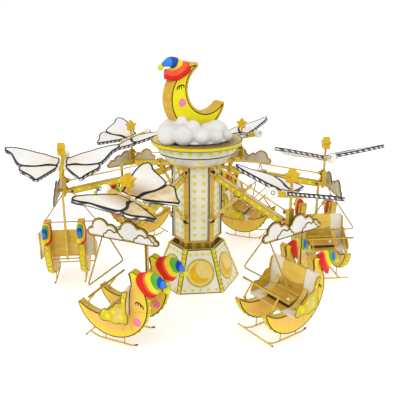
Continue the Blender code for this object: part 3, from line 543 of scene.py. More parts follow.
# The crown's top is painted dark within about a metre of a point a little forward and right of the axis,
# fading out by 1.3 m: painted shadow of the cloud bank.
SHADED_DISC = finish("crown_gold_painted_shadow", (236, 208, 110), (216, 182, 80), (0.38, 0.55), 2.5, (1, 3, 3),
              tint=fading_from((0.10, -0.25, 0.0), 0.94, 1.30, (124, 102, 62)))
# The drum's white is greyer and darker than the panels' white: painted shade under the cornice.
SHADED_DRUM_WHITE = finish("drum_white_painted_shade", (232, 233, 228), (218, 218, 212), (0.42, 0.6), 2.2, (1, 1, 0.5))


def rope_tint(tree, place, colour):
    """Slanting dark and white stripes, as on the rim of the wings."""
    wave = tree.nodes.new("ShaderNodeTexWave")
    wave.bands_direction = "DIAGONAL"
    wave.inputs["Scale"].default_value = 3.6
    tree.links.new(place, wave.inputs["Vector"])
    return mixed(tree, remap(tree, wave.outputs["Fac"], 0.35, 0.65), linear(92, 92, 95), colour)


WING_EDGE = finish("wing_edge", (240, 238, 234), (228, 224, 218), (0.4, 0.55), 6.0, tint=rope_tint)


# Forms that several places share

def melted(piece, name, voxel, smoothing):
    """One smooth skin over a piece's overlapping balls."""
    raw = link(bpy.data.objects.new(name + "_raw", piece.mesh(name + "_raw")))
    skin = raw.modifiers.new("skin", "REMESH")
    skin.mode = "VOXEL"
    skin.voxel_size = voxel
    ease = raw.modifiers.new("ease", "SMOOTH")
    ease.iterations = smoothing
    made = bpy.data.meshes.new_from_object(raw.evaluated_get(bpy.context.evaluated_depsgraph_get()))
    bpy.data.objects.remove(raw)
    made.name = name
    made.shade_smooth()
    return made


def cap(piece, place, stations, depth, droop, looks, pompom):
    """A nightcap: ovals along a bending line, as (x, y, across x, across y, half width), then its pompom.

    looks names the colour of each span between stations. The brim droops in the middle of both sides.
    """
    square, steps = 0.65, 6
    line = curve(stations, steps, closed=False)
    rings, kinds = [], []
    for index, (x, y, ax, ay, half) in enumerate(line):
        across = Vector((ax, ay)).normalized()
        share = half / stations[0][4]
        ring = []
        for step in range(28):
            cosine, sine = math.cos(math.tau * step / 28), math.sin(math.tau * step / 28)
            side = half * math.copysign(abs(cosine) ** square, cosine)
            out = depth * share**0.8 * math.copysign(abs(sine) ** square, sine)
            fall = droop * share * sine**2
            spot = Vector((x, y)) + across * side + Vector((across.y, -across.x)) * fall
            ring.append(place(*spot, out))
        rings.append(ring)
        if index < len(line) - 1:
            kinds.append(CAP[looks[index // steps]])
    piece.rings(rings, kinds + [CAP[looks[0]]])
    (x, y), radius = pompom
    piece.ball(place(x, y, 0.0), radius, POMPOM)


def sleeping_face(piece, place, lid, lashes, widths, cheek, low, high):
    """A closed eye and a pink cheek; widths are those of the lid, the lash and the lash's tip."""
    piece.stroke(place, curve(lid, 5, closed=False), widths[0], low, high, OUTLINE)
    for lash in lashes:
        piece.stroke(place, lash, widths[1:], low, high, OUTLINE)
    piece.slab(place, circle(*cheek, 28), low, high, PINK)


# Base

def hexagon(radius, height):
    return [(x, y, height) for x, y in circle(ORIGIN, radius, 6)]


SLOPE = math.hypot((BASE_FOOT - BASE_HEAD) * FLAT, BASE_HEIGHT)
WINDOW = [(-0.60, 0.03), (0.60, 0.03), (0.343, 1.318), (-0.343, 1.318)]
MEDALLION = (0.0, 0.628)
BEADS = 60


def fill(centre, radius, clip):
    """A circle on the medallion, given from its middle, cut off at the distance clip from that middle."""
    shares = ((x, y, min(1.0, clip / math.hypot(x, y))) for x, y in circle(centre, radius, 56))
    return [(MEDALLION[0] + x * share, MEDALLION[1] + y * share) for x, y, share in shares]


def flat_ring(piece, place, outer, inner, high, look):
    """A flat ring of the medallion."""
    profile = [(inner, 0.004), (outer, 0.004), (outer, high), (inner, high)]
    piece.turned(place, profile, look, 48, MEDALLION, closed=True)


frame_piece = Piece()
# The inner wall of the base is dark olive: painted shade inside the base.
frame_piece.rings([hexagon(BASE_FOOT, 0.0), hexagon(BASE_HEAD, BASE_HEIGHT),
                   hexagon(BASE_HEAD - 0.055, BASE_HEIGHT),
                   hexagon(BASE_FOOT - 0.075, 0.0)], [GOLD, PALE_GOLD, OLIVE, GOLD, GOLD], closed=True)
panels = Piece()
medallions = Piece()
lamps = Piece()
for face in range(6):
    on_face = facing_out(30 + 60 * face, BASE_FOOT * FLAT, 0.0, (BASE_HEAD - BASE_FOOT) * FLAT, BASE_HEIGHT)
    for side in (-1, 1):
        low, high = 0.004, SLOPE - 0.004
        strip = [(side * 0.6885, low), (side * 0.605, low), (side * 0.348, high), (side * 0.432, high)]
        frame_piece.slab(on_face, strip, -0.01, 0.008, STRIP_YELLOW)
    panels.slab(on_face, inset(WINDOW, -0.022), -0.006, 0.011, OUTLINE)
    panels.slab(on_face, WINDOW, 0.0, 0.014, WHITE)
    frame_piece.slab(on_face, oblong(-0.35, 0.35, SLOPE - 0.012, SLOPE - 0.006), -0.004, 0.002, OUTLINE)

    flat_ring(medallions, on_face, 0.436, 0.426, 0.018, OUTLINE)
    for bead in range(BEADS):
        start, end = 360 * bead / BEADS, 360 * (bead + 1) / BEADS
        near, far = arc(MEDALLION, 0.378, start, end, 1), arc(MEDALLION, 0.427, start, end, 1)
        high, look = (0.026, RING_LIME) if bead % 2 else (0.024, YELLOW)
        medallions.slab(on_face, [near[0], *far, near[1]], 0.004, high, look)
    flat_ring(medallions, on_face, 0.378, 0.345, 0.026, MEDALLION_PALE)
    flat_ring(medallions, on_face, 0.350, 0.320, 0.022, LINE_CREAM)
    medallions.slab(on_face, circle(MEDALLION, 0.325, 56), 0.004, 0.018, RAISED_ORANGE)
    medallions.slab(on_face, fill((0.150, 0.115), 0.272, 0.348), 0.004, 0.021, LINE_CREAM)
    medallions.slab(on_face, fill((0.160, 0.120), 0.240, 0.350), 0.004, 0.025, MEDALLION_PALE)

    for up, row in ((1.195, (-0.29, -0.10, 0.10, 0.29)), (0.105, (-0.49, -0.245, 0.0, 0.245, 0.49))):
        for x in row:
            lamps.lamp(on_face, x, up, 0.05, LAMP, base=0.014)
    on_corner = facing_out(60 * face, BASE_FOOT, 0.0, BASE_HEAD - BASE_FOOT, BASE_HEIGHT)
    for number in range(10):
        radius, look = (0.060, LAMP) if number % 2 else (0.052, LAMP_GOLD)
        lamps.lamp(on_corner, 0.0, 0.07 + 0.1375 * number, radius, look, height=0.8, base=-0.016)

show(frame_piece, "base_gold_trim", "base", ["base_frame"])
show(panels, "base_white_windows", "base", ["base_housing"])
show(medallions, "base_medallions", "base")
show(lamps, "base_lamps", "base")
# The pedestal inside the base is dark olive: painted shade.
repaint("base_pedestal", OLIVE)

# Turning neck and shaft

neck = Piece()
# Staves alternate raised pale gold and lower dark olive; the olive is painted shade in the hollows between
# them.
for stave in range(24):
    high, look = (0.016, PALE_GOLD) if stave % 2 else (0.005, OLIVE)
    outline = oblong(-0.067, 0.067, NECK_LOW, NECK_HIGH)
    neck.slab(facing_out(15 * stave, NECK_RADIUS), outline, -0.02, high, look, bevel=0.004)
show(neck, "neck_staves", "tower")

shaft = Piece()
posts = Piece()
for face in range(6):
    on_shaft, on_post = facing_out(30 + 60 * face, SHAFT_APOTHEM), facing_out(60 * face, POST_OUT)
    for side in (-1, 1):
        for row in range(10):
            shaft.lamp(on_shaft, side * 0.13, 1.699 + 0.2337 * row, 0.053, LAMP)
        # Dark strips beside each post: a drawn line, widened by painted shade of the post's side.
        shaft.slab(on_shaft, oblong(side * 0.266, side * 0.296, *SHAFT_SPAN), -0.004, 0.004, OUTLINE)
    shaft.slab(on_shaft, oblong(-0.27, 0.27, SHAFT_SPAN[0], SHAFT_SPAN[0] + 0.014), -0.004, 0.004, PALE_GOLD)
    for half, low, high, look, edge in ((POST_HALF - 0.01, 0.0, 0.078, WHITE, WHITE),
                                        (POST_HALF, 0.077, 0.113, GOLD, OUTLINE)):
        posts.slab(on_post, oblong(-half, half, *POST_SPAN), low, high, look, edge)
    # Pale strips near both edges of each post's face: painted highlights on its eased edges.
    for side in (-1, 1):
        posts.slab(on_post, oblong(side * 0.050, side * 0.074, *POST_SPAN), 0.11, 0.1145, PALE_GOLD)
posts.rings([hexagon(0.79, 1.475), hexagon(0.79, 1.505), hexagon(0.45, 1.505), hexagon(0.45, 1.475)], GOLD,
            closed=True)
posts.turned(level, [(0.40, NECK_LOW), (NECK_RADIUS, NECK_LOW), (NECK_RADIUS, NECK_HIGH + 0.002),
                     (0.40, NECK_HIGH + 0.002)], OLIVE, 24, closed=True)
show(shaft, "shaft_lamps", "tower")
show(posts, "gold_posts", "tower", ["tower_frame"])
repaint("tower_shaft", WHITE)


def bolt(piece, out, up, reach, look=BROWN):
    """A round headed bolt that shows on both sides of the arm, with a recess in its head."""
    profile = [(0.9, -0.004), (1.0, 0.006), (1.0, 0.016), (0.7, 0.022), (0.42, 0.022), (0.36, 0.012),
               (0.05, 0.011)]
    profile = [(BOLT * share, high) for share, high in profile]
    for side in (-1, 1):
        piece.turned(along_arm(side * reach, side), profile, look, 12, (out, up))


def pin(piece, out, up, half, radius):
    """A round pin across the arm."""
    piece.tube([at(out, -half, up), at(out, half, up)], radius, BROWN, sides=12)


# Brackets of an arm: flat bars beside the pins, and the dark blocks that hold them to the post
lugs = Piece()
for side in (-1, 1):
    on_lug = along_arm(side * LUG, side)
    for start, end, width, look in (
            ((0.755, 3.695), BEAM_NEAR, 0.085, GOLD), (BEAM_NEAR, TIE_NEAR, 0.050, PALE_GOLD),
            ((0.755, 3.862), TIE_NEAR, 0.040, PALE_GOLD), ((0.755, 2.165), RAM_LOW, 0.080, PALE_GOLD)):
        lugs.stroke(on_lug, [start, end], width, 0.0, 0.020, look)
    for out, up in (BEAM_NEAR, TIE_NEAR, RAM_LOW):
        lugs.slab(on_lug, circle((out, up), 0.048, 20), 0.0, 0.021, GOLD, EDGE_GOLD, bevel=0.003)
for out, up in (BEAM_NEAR, TIE_NEAR, RAM_LOW):
    bolt(lugs, out, up, LUG + 0.02, OLIVE)
    pin(lugs, out, up, 0.074, 0.020)
for low, high in ((3.645, 3.735), (2.115, 2.215)):
    middle = (low + high) / 2
    lugs.bar(at(0.775, 0.0, middle), at(0.832, 0.0, middle), 0.144, high - low, BROWN, 0.012)
    for side in (-1, 1):
        start, end = at(0.77, side * 0.083, middle), at(0.80, side * 0.083, middle)
        lugs.bar(start, end, 0.024, high - low - 0.01, BROWN)
show_on_arms(lugs, "tower_lugs", "tower")

# Drum and cornice

drum = Piece()
drum.turned(level, [(0.60, 3.8863), (0.880, 3.8863), (0.893, 3.893), (0.900, 3.928), (0.905, 3.940),
                    (1.118, 4.172), (1.139, 4.186), (1.154, 4.200), (1.155, 4.222), (1.157, 4.228),
                    (1.160, 4.432), (0.60, 4.436)],
            [PALE_GOLD] * 4 + [SHADED_DRUM_WHITE] * 2 + [INK] * 2 + [SHADED_DRUM_WHITE] * 3 + [PALE_GOLD], 72)
for number in range(24):
    drum.lamp(facing_out(15 * number, 1.157), 0.0, 4.322, 0.064, LAMP)
for number in range(8):
    drum.lamp(facing_out(45 * number, 1.038, 4.1, 0.217, 0.208), 0.0, 0.0, 0.070, LAMP, height=0.6)
show(drum, "drum_bands", "tower", ["drum_body"])

crown = Piece()
# The top disc carries the painted shadow of the cloud bank.
crown.turned(level, [(0.30, 4.4403), (1.30, 4.4403), (1.335, 4.446), (1.358, 4.456), (1.369, 4.470),
                     (1.370, 4.550), (1.366, 4.5565), (1.350, 4.560), (1.330, 4.5604), (0.30, 4.5604)],
             [PALE_GOLD] + [OUTLINE] * 3 + [YELLOW] * 2 + [OUTLINE] * 2 + [SHADED_DISC] * 2, 96)
show(crown, "crown_disc", "tower", ["drum_cornice"])

# Cloud bank, crescent and nightcap, shaped as if the moon faced forward and then turned its way

PUFFS = [
    (-1.12, 0.16, 0.27, 0.30), (-0.90, -0.11, 0.44, 0.24), (-0.68, 0.13, 0.58, 0.21),
    (-0.82, 0.50, 0.26, 0.28), (-0.455, 0.43, 0.44, 0.23), (-0.36, 0.76, 0.24, 0.25),
    (0.19, 0.66, 0.38, 0.26), (0.02, 0.88, 0.20, 0.22), (0.49, 0.78, 0.17, 0.18), (-0.60, 0.10, 0.22, 0.38),
    (0.05, 0.52, 0.20, 0.36), (0.50, 0.32, 0.20, 0.36), (0.72, -0.10, 0.22, 0.30), (0.62, -0.40, 0.22, 0.34),
    (0.10, -0.62, 0.24, 0.36), (0.34, -0.30, 0.42, 0.26), (-0.45, -0.55, 0.24, 0.34),
    (-0.72, -0.42, 0.22, 0.34), (-0.20, -0.40, 0.46, 0.26), (0.85, 0.18, 0.14, 0.20),
]
puffs = Piece()
for across, forward, up, radius in PUFFS:
    puffs.ball(at(across, forward, CROWN_TOP + up), radius, CLOUD, steps=32)
puffs.turned(level, [(0.95, 4.575), (1.0, 4.60), (0.9, 4.68), (0.4, 4.80)], CLOUD, 40)
bank = melted(puffs, "cloud_bank", 0.022, 11)
for vertex in bank.vertices:
    vertex.co.z = max(vertex.co.z, CROWN_TOP + 0.0005)
show(bank, "cloud_puffs", "tower", ["cloud_bank"], MOON_TURN)

MOON = ((-0.068, 5.804, 0.921), (0.245, 6.061, 0.772))
MOON_FACE = crescent((*MOON[0][:2], MOON[0][2] - 0.017), (*MOON[1][:2], MOON[1][2] + 0.017), 0.002)
MOON_LID = [(-0.825, 6.115), (-0.785, 6.17), (-0.70, 6.203), (-0.61, 6.205), (-0.575, 6.165)]
MOON_LASHES = [((-0.80, 6.15), (-0.825, 6.075)), ((-0.745, 6.18), (-0.755, 6.085)),
               ((-0.68, 6.20), (-0.675, 6.095)), ((-0.60, 6.20), (-0.585, 6.12))]
moon = Piece()
moon.slab(along_arm(0.0), crescent(*MOON, 0.09), -MOON_HALF, MOON_HALF, GOLD, EDGE_GOLD, bevel=0.014)
for side in (-1, 1):
    on_moon = along_arm(0.0, side)
    moon.slab(on_moon, crescent(*MOON, 0.017), MOON_HALF - 0.01, MOON_HALF + 0.003, OUTLINE)
    moon.slab(on_moon, MOON_FACE, MOON_HALF - 0.01, MOON_HALF + 0.007, TOP_MOON)
    sleeping_face(moon, on_moon, MOON_LID, MOON_LASHES, [0.032, 0.036, 0.018], ((-0.648, 5.715), 0.12),
                  MOON_HALF, MOON_HALF + 0.011)
show(moon, "crescent", "tower", ["crescent_moon"], MOON_TURN)

hat = Piece()
cap(hat, along_arm(0.0), [
    (-0.680, 6.565, 0.890, 0.456, 0.430), (-0.740, 6.672, 0.892, 0.452, 0.375),
    (-0.800, 6.757, 0.915, 0.403, 0.265), (-0.785, 6.815, 0.428, 0.904, 0.157),
    (-0.948, 6.837, -0.110, 0.994, 0.131), (-1.169, 6.756, -0.646, 0.763, 0.051),
], 0.265, 0.15, ["red", "orange", "yellow", "blue", "sky"], ((-1.227, 6.706), 0.080))
show(hat, "top_nightcap", "tower", ["nightcap"], MOON_TURN)


# Beam with its hoop and lamps

BEAM_LENGTH = math.dist(BEAM_NEAR, BEAM_FAR)
BEAM_RUN = ((BEAM_FAR[0] - BEAM_NEAR[0]) / BEAM_LENGTH, (BEAM_FAR[1] - BEAM_NEAR[1]) / BEAM_LENGTH)
HOOP = (2.08, 3.385)


def on_beam(forward, side=1):
    """Points (along, up) on a plane beside the beam's axis; height is away from the axis."""
    run, rise = BEAM_RUN
    return lambda x, y, h=0.0: at(BEAM_NEAR[0] + run * x - rise * y, side * (forward + h),
                                  BEAM_NEAR[1] + rise * x + run * y)


def rod_end(piece, out, up, radius, half, bore=0.02):
    """A round eye across the arm."""
    profile = mirrored([(bore, half), (radius - 0.004, half), (radius, half - 0.005)])
    piece.turned(along_arm(0.0), profile, EDGE_GOLD, 20, (out, up), closed=True)


beam = Piece()
cheek = arc(ORIGIN, 0.095, 90, 270, 10) + arc((BEAM_LENGTH, 0.0), 0.095, -90, 90, 10)
for side in (-1, 1):
    beam.slab(on_beam(0.047, side), cheek, 0.0, 0.018, BEAM_GOLD, EDGE_GOLD, bevel=0.003)
    beam.band(on_beam(0.047, side), inset(cheek, 0.010), 0.0, 0.006, 0.015, 0.0195, OUTLINE)
    for number, along in enumerate((0.27, 0.56, 0.85, 1.37, 1.68, 1.99, 2.29, 2.59)):
        beam.lamp(on_beam(0.065, side), along, -0.005, 0.060, LAMP if number % 2 else LAMP_GOLD, height=0.45)
    beam.slab(along_arm(side * 0.06, side), circle(HOOP, 0.088, 28), 0.0, 0.013, YELLOW, OLIVE, bevel=0.003)
for low, high, look in ((0.066, 0.078, CREAM), (-0.086, -0.074, EDGE_GOLD)):
    beam.slab(on_beam(0.0), oblong(0.03, BEAM_LENGTH - 0.03, low, high), -0.0475, 0.0475, look)
hoop = mirrored([(0.128, 0.072), (0.132, 0.077), (0.156, 0.077), (0.160, 0.072)])
looks = [PALE_GOLD] * 3 + [SEAT_DARK] + [PALE_GOLD] * 3 + [BROWN]
beam.turned(along_arm(0.0), hoop, looks, 44, HOOP, closed=True)
out, up = RAM_HIGH
lug = rounded([(out - 0.09, up + 0.17), (out - 0.05, up - 0.03), (out + 0.05, up - 0.03),
               (out + 0.09, up + 0.17)], 0.03)
for side in (-1, 1):
    beam.slab(along_arm(side * 0.054, side), lug, 0.0, 0.018, OLIVE, EDGE_GOLD, bevel=0.002)
    profile = [(0.026, 0.0), (0.028, 0.004), (0.026, 0.012), (0.012, 0.015), (0.002, 0.015)]
    beam.turned(along_arm(side * 0.071, side), profile, BROWN, 12, RAM_HIGH)
pin(beam, *RAM_HIGH, 0.06, 0.018)
show_on_arms(beam, "lamp_beam", "beam", "beam")


# Tie rod and lift cylinder

def between(near, far, *distances):
    """Places on the line from one pin to another, these distances along it."""
    length = math.dist(near, far)
    run, rise = (far[0] - near[0]) / length, (far[1] - near[1]) / length
    return [at(near[0] + run * distance, 0.0, near[1] + rise * distance) for distance in distances]


tie = Piece()
reach = math.dist(TIE_NEAR, TIE_FAR)
rod = between(TIE_NEAR, TIE_FAR, 0.03, 0.09, 0.12, reach - 0.12, reach - 0.09, reach - 0.03)
tie.tube(rod, [0.030, 0.030, 0.023, 0.023, 0.030, 0.030], PALE_GOLD, sides=12)
for place in (TIE_NEAR, TIE_FAR):
    rod_end(tie, *place, 0.036, 0.064)
show_on_arms(tie, "round_tie_rod", "tie_rod", "tie_rod")

barrel = Piece()
barrel.tube(between(RAM_LOW, RAM_HIGH, 0.02, 0.05, 0.055, 0.09, 0.095, 0.97, 0.975, 1.0, 1.035, 1.04),
            [0.040, 0.052, 0.056, 0.056, 0.050, 0.050, 0.057, 0.058, 0.057, 0.050], PALE_GOLD, sides=20)
for start in (0.30, 0.62):
    barrel.tube(between(RAM_LOW, RAM_HIGH, start, start + 0.02), 0.0535, OLIVE, sides=20)
rod_end(barrel, *RAM_LOW, 0.056, 0.064)
show_on_arms(barrel, "round_barrel", "lift_barrel", "lift_barrel")

piston = Piece()
reach = math.dist(RAM_LOW, RAM_HIGH)
piston.tube(between(RAM_LOW, RAM_HIGH, 0.15, 0.16, reach - 0.06, reach - 0.05), [0.024, 0.027, 0.027, 0.024],
            CHROME, sides=16)
rod_end(piston, *RAM_HIGH, 0.054, 0.029, bore=0.038)
show_on_arms(piston, "bright_rod", "lift_rod", "lift_rod")

# End bracket with the pole, star, cloud plaque and control bar

bracket = Piece()
for side in (-1, 1):
    on_bracket = along_arm(side * LUG, side)
    for out, up in (BEAM_FAR, TIE_FAR):
        ear = arc((out, up), 0.052, 100, 260, 12) + [(3.99, up - 0.062), (3.99, up + 0.062)]
        bracket.slab(on_bracket, ear, 0.0, 0.018, GOLD, EDGE_GOLD, bevel=0.003)
    column = rounded(oblong(3.935, 4.05, 2.95, 3.47), 0.02)
    bracket.slab(on_bracket, column, 0.0, 0.020, GOLD, EDGE_GOLD, bevel=0.003)
for place in (BEAM_FAR, TIE_FAR):
    bolt(bracket, *place, LUG + 0.018)
    pin(bracket, *place, 0.075, 0.021)
bracket.bar(at(3.955, 0.0, 3.21), at(4.045, 0.0, 3.21), 0.155, 0.51, OLIVE, 0.008)
bracket.bar(at(4.04, 0.0, 3.08), at(4.20, 0.0, 3.08), 0.06, 0.10, EDGE_GOLD)
bracket.tube([at(POLE_OUT, 0.0, up) for up in (2.98, 4.15)], 0.034, GOLD, sides=20)
for up in (3.475, 3.60):
    bracket.tube([at(POLE_OUT, 0.0, up), at(POLE_OUT, 0.0, up + 0.02)], 0.042, EDGE_GOLD, sides=20)
bracket.tube([at(POLE_OUT, 0.05, 3.22), at(POLE_OUT, BAR_FORWARD, 2.93)], 0.019, PALE_GOLD)
loop = rounded([(0.0, 2.955), (0.835, 1.77), (-0.835, 1.77)], 0.13, 7)
bracket.tube([at(POLE_OUT + across, BAR_FORWARD, up) for across, up in loop], 0.019, OLIVE, closed=True)
show_on_arms(bracket, "end_bracket", "carrier", "carrier")

stars = Piece()
outline = [(x, 4.33 + y) for x, y in rounded(star(0.205, 0.52), 0.012, 2)]
stars.slab(beside(POLE_OUT), outline, -0.105, 0.105, STAR_GOLD, STAR_RIM, bevel=0.004)
for side in (-1, 1):
    stars.band(beside(POLE_OUT, side), outline, 0.004, 0.011, 0.10, 0.1065, STAR_RIM)
stars.tube([at(POLE_OUT, 0.0, 4.13), at(POLE_OUT, 0.0, 4.26)], 0.026, GOLD, sides=12)
show_on_arms(stars, "pole_star", "carrier")


def cloud(lumps, base):
    """A cloud's outline over a flat foot; lumps are (forward, height, radius) from front to rear."""
    line = []
    for lump in lumps:
        first = -60 if lump is lumps[0] else 0
        last = 240 if lump is lumps[-1] else 180
        others = [other for other in lumps if other is not lump]
        for point in arc(lump[:2], lump[2], first, last, 40):
            if point[1] > base and all(math.dist(point, other[:2]) >= other[2] for other in others):
                line.append(point)
    return [(line[-1][0] + 0.03, base), (line[0][0] - 0.03, base)] + line


def cloud_plate(piece, lumps, low, high, rim):
    """A plaque cloud: white in front and grey behind, with a painted rim inside a dark edge."""
    outline = cloud(lumps, 2.845)
    on_front, on_back = beside(PLAQUE_OUT), beside(PLAQUE_OUT, -1)
    piece.slab(on_front, outline, low, high - 0.003, OUTLINE)
    piece.slab(on_front, inset(outline, 0.018), high - 0.005, high, OLIVE)
    piece.slab(on_front, inset(outline, rim), high - 0.005, high + 0.004, PLAQUE)
    if low < 0:
        for depth, relief, look in ((0.012, 0.001, EDGE_GOLD), (0.048, 0.0025, OUTLINE),
                                    (0.056, 0.004, PLAQUE_BACK)):
            piece.slab(on_back, inset(outline, depth), -low - 0.004, -low + relief, look)


FRONT_CLOUD = [(0.985, 2.97, 0.125), (0.72, 3.10, 0.255), (0.42, 3.05, 0.19), (0.24, 2.98, 0.14)]
REAR_CLOUD = [(0.12, 3.05, 0.14), (-0.10, 3.13, 0.265), (-0.42, 3.06, 0.21), (-0.68, 2.97, 0.16),
              (-0.83, 2.93, 0.085)]
SMALL_CLOUD = [(0.56, 2.915, 0.085), (0.43, 2.965, 0.135), (0.25, 2.955, 0.115), (0.13, 2.905, 0.07)]
plaque = Piece()
for lumps in (FRONT_CLOUD, REAR_CLOUD):
    cloud_plate(plaque, lumps, -0.020, 0.013, 0.060)
for shift in (0.0, -0.86):
    lumps = [(forward + shift, height, radius) for forward, height, radius in SMALL_CLOUD]
    cloud_plate(plaque, lumps, 0.010, 0.022, 0.038)
show_on_arms(plaque, "cloud_plaque", "carrier")

# Winged figure

RISE, PITCH = 0.19, 0.27


def on_wing(side):
    """Points (outward from the pole, forward) on a wing's rising plane."""
    span = Vector((side, 0.0, RISE)).normalized()
    chord = Vector((0.0, -1.0, PITCH))
    chord = (chord - span * chord.dot(span)).normalized()
    up = span.cross(chord) * (-side)
    origin = at(POLE_OUT, 0.0, 3.95 - PITCH * 0.35)
    wide, long = math.hypot(1.0, RISE), math.hypot(1.0, PITCH)
    return lambda x, y, h=0.0: origin + span * x * wide + chord * y * long + up * h


def wing_plate(piece, side, outline, look):
    """A white wing with a dark line round it and striped edges."""
    place = on_wing(side)
    piece.slab(place, outline, -0.042, -0.024, INK)
    piece.slab(place, inset(outline, 0.003), -0.025, 0.025, WING_EDGE)
    piece.slab(place, outline, 0.024, 0.042, INK)
    piece.band(place, outline, 0.0, 0.036, 0.040, 0.056, INK)
    for low, high in ((0.041, 0.0445), (-0.0445, -0.041)):
        piece.slab(place, inset(outline, 0.036), low, high, look)


FRONT_WING = curve([
    (0.13, 0.265), (0.26, 0.285), (0.55, 0.39), (0.80, 0.42), (1.05, 0.475), (1.30, 0.505), (1.50, 0.505),
    (1.66, 0.455), (1.725, 0.38), (1.67, 0.26), (1.50, 0.13), (1.40, -0.04), (1.29, -0.24), (1.19, -0.38),
    (1.10, -0.43), (0.97, -0.43), (0.67, -0.355), (0.38, -0.175), (0.13, -0.12)], 3)
REAR_WING = curve([
    (0.13, -0.165), (0.40, -0.215), (0.66, -0.345), (0.90, -0.425), (1.06, -0.445), (1.125, -0.53),
    (1.10, -0.66), (1.01, -0.745), (0.83, -0.85), (0.70, -0.945), (0.625, -1.035), (0.53, -1.045),
    (0.465, -0.93), (0.375, -0.77), (0.25, -0.53), (0.13, -0.285)], 3)
# One arm's wings take the shaded copies, as painted shade; the others take the lighter ones.
ARM_WITH_SHADED_WINGS = 5
PLAIN_ARMS = [number for number in range(1, ARMS + 1) if number != ARM_WITH_SHADED_WINGS]
for label, outline, plain, shaded_look in (("front_wings", FRONT_WING, WING, SHADED_WING),
                                    ("rear_wings", REAR_WING, REAR_WING_LOOK, SHADED_REAR_WING)):
    for arms, look in ((PLAIN_ARMS, plain), ([ARM_WITH_SHADED_WINGS], shaded_look)):
        wings = Piece()
        for side in (-1, 1):
            wing_plate(wings, side, outline, look)
        show_on_arms(wings, label, "carrier", arms=arms)

bird = Piece()
TAIL, NOSE = at(POLE_OUT, -0.72, 3.645), at(POLE_OUT, 0.60, 3.990)
along = (NOSE - TAIL).normalized()
length = (NOSE - TAIL).length
top = (UP - along * along.z).normalized()


def body_section(distance, half, high):
    """An eased rectangle across the body."""
    section = eased_box(half, high, min(half, high) * 0.25)
    return [TAIL + along * distance + Vector((x, 0, 0)) + top * y for x, y in section]


bird.rings([body_section(*station) for station in (
    (0.0, 0.012, 0.010), (0.05, 0.040, 0.030), (0.45, 0.062, 0.050), (0.85, 0.078, 0.066),
    (length - 0.06, 0.085, 0.074), (length, 0.075, 0.066))], BEAM_GOLD)
for side in (-1, 1):
    for low, high in ((0.16, 0.50), (0.56, 0.92), (0.98, 1.26)):
        corners = [(distance, lift, 0.044 + 0.0345 * min(distance, 0.95))
                   for distance, lift in ((low, -0.010), (high, -0.012), (high, 0.006), (low, 0.004))]
        bird.rings([[TAIL + along * distance + top * lift + Vector((side * (half + grow), 0, 0))
                     for distance, lift, half in corners] for grow in (-0.004, 0.004)], OUTLINE)
for front, rear in ((0.27, -0.12), (-0.15, -0.32)):
    for side in (-1, 1):
        place = on_wing(side)
        root = rounded([(0.055, rear), (0.055, front), (0.165, front - 0.03), (0.185, (front + rear) / 2),
                        (0.165, rear + 0.03)], 0.03)
        bird.slab(place, root, -0.043, 0.046, BALL_WHITE, bevel=0.009)
head = at(POLE_OUT, 0.66, 4.005)
bird.ball(head, 0.152, BALL_WHITE, steps=32)
for side in (-1, 1):
    gaze = Vector((side * 0.78, -0.50, 0.42)).normalized()
    across = gaze.cross(UP).normalized()
    on_eye = plane(head + gaze * 0.141, across, -gaze.cross(across))
    rim = [(0.052, -0.006), (0.055, 0.006), (0.048, 0.012), (0.036, 0.013), (0.034, 0.006)]
    bird.turned(on_eye, rim, INK, 24)
    bird.turned(on_eye, [(0.035, 0.0), (0.035, 0.012), (0.024, 0.016), (0.004, 0.017)], EYE_GREY, 24)
show_on_arms(bird, "white_bird", "carrier", "bird")


# Gondola

TUB = curve([(-0.308, 1.905), (-0.258, 1.72), (-0.232, 1.45), (-0.225, 1.20), (-0.185, 1.025),
             (-0.03, 0.966), (0.20, 0.950), (0.545, 0.950)], 4, closed=False)


def notched(outline):
    """The crescent with its concave edge cut back to the tub where the tub is deeper."""
    line = []
    for x, y in outline:
        if not (math.dist((x, y), INNER[:2]) < INNER[2] and x < TUB_FRONT and y < INNER[1]):
            line.append((x, y))
        elif line[-1] not in TUB:
            line += TUB[1:-1]
    return line


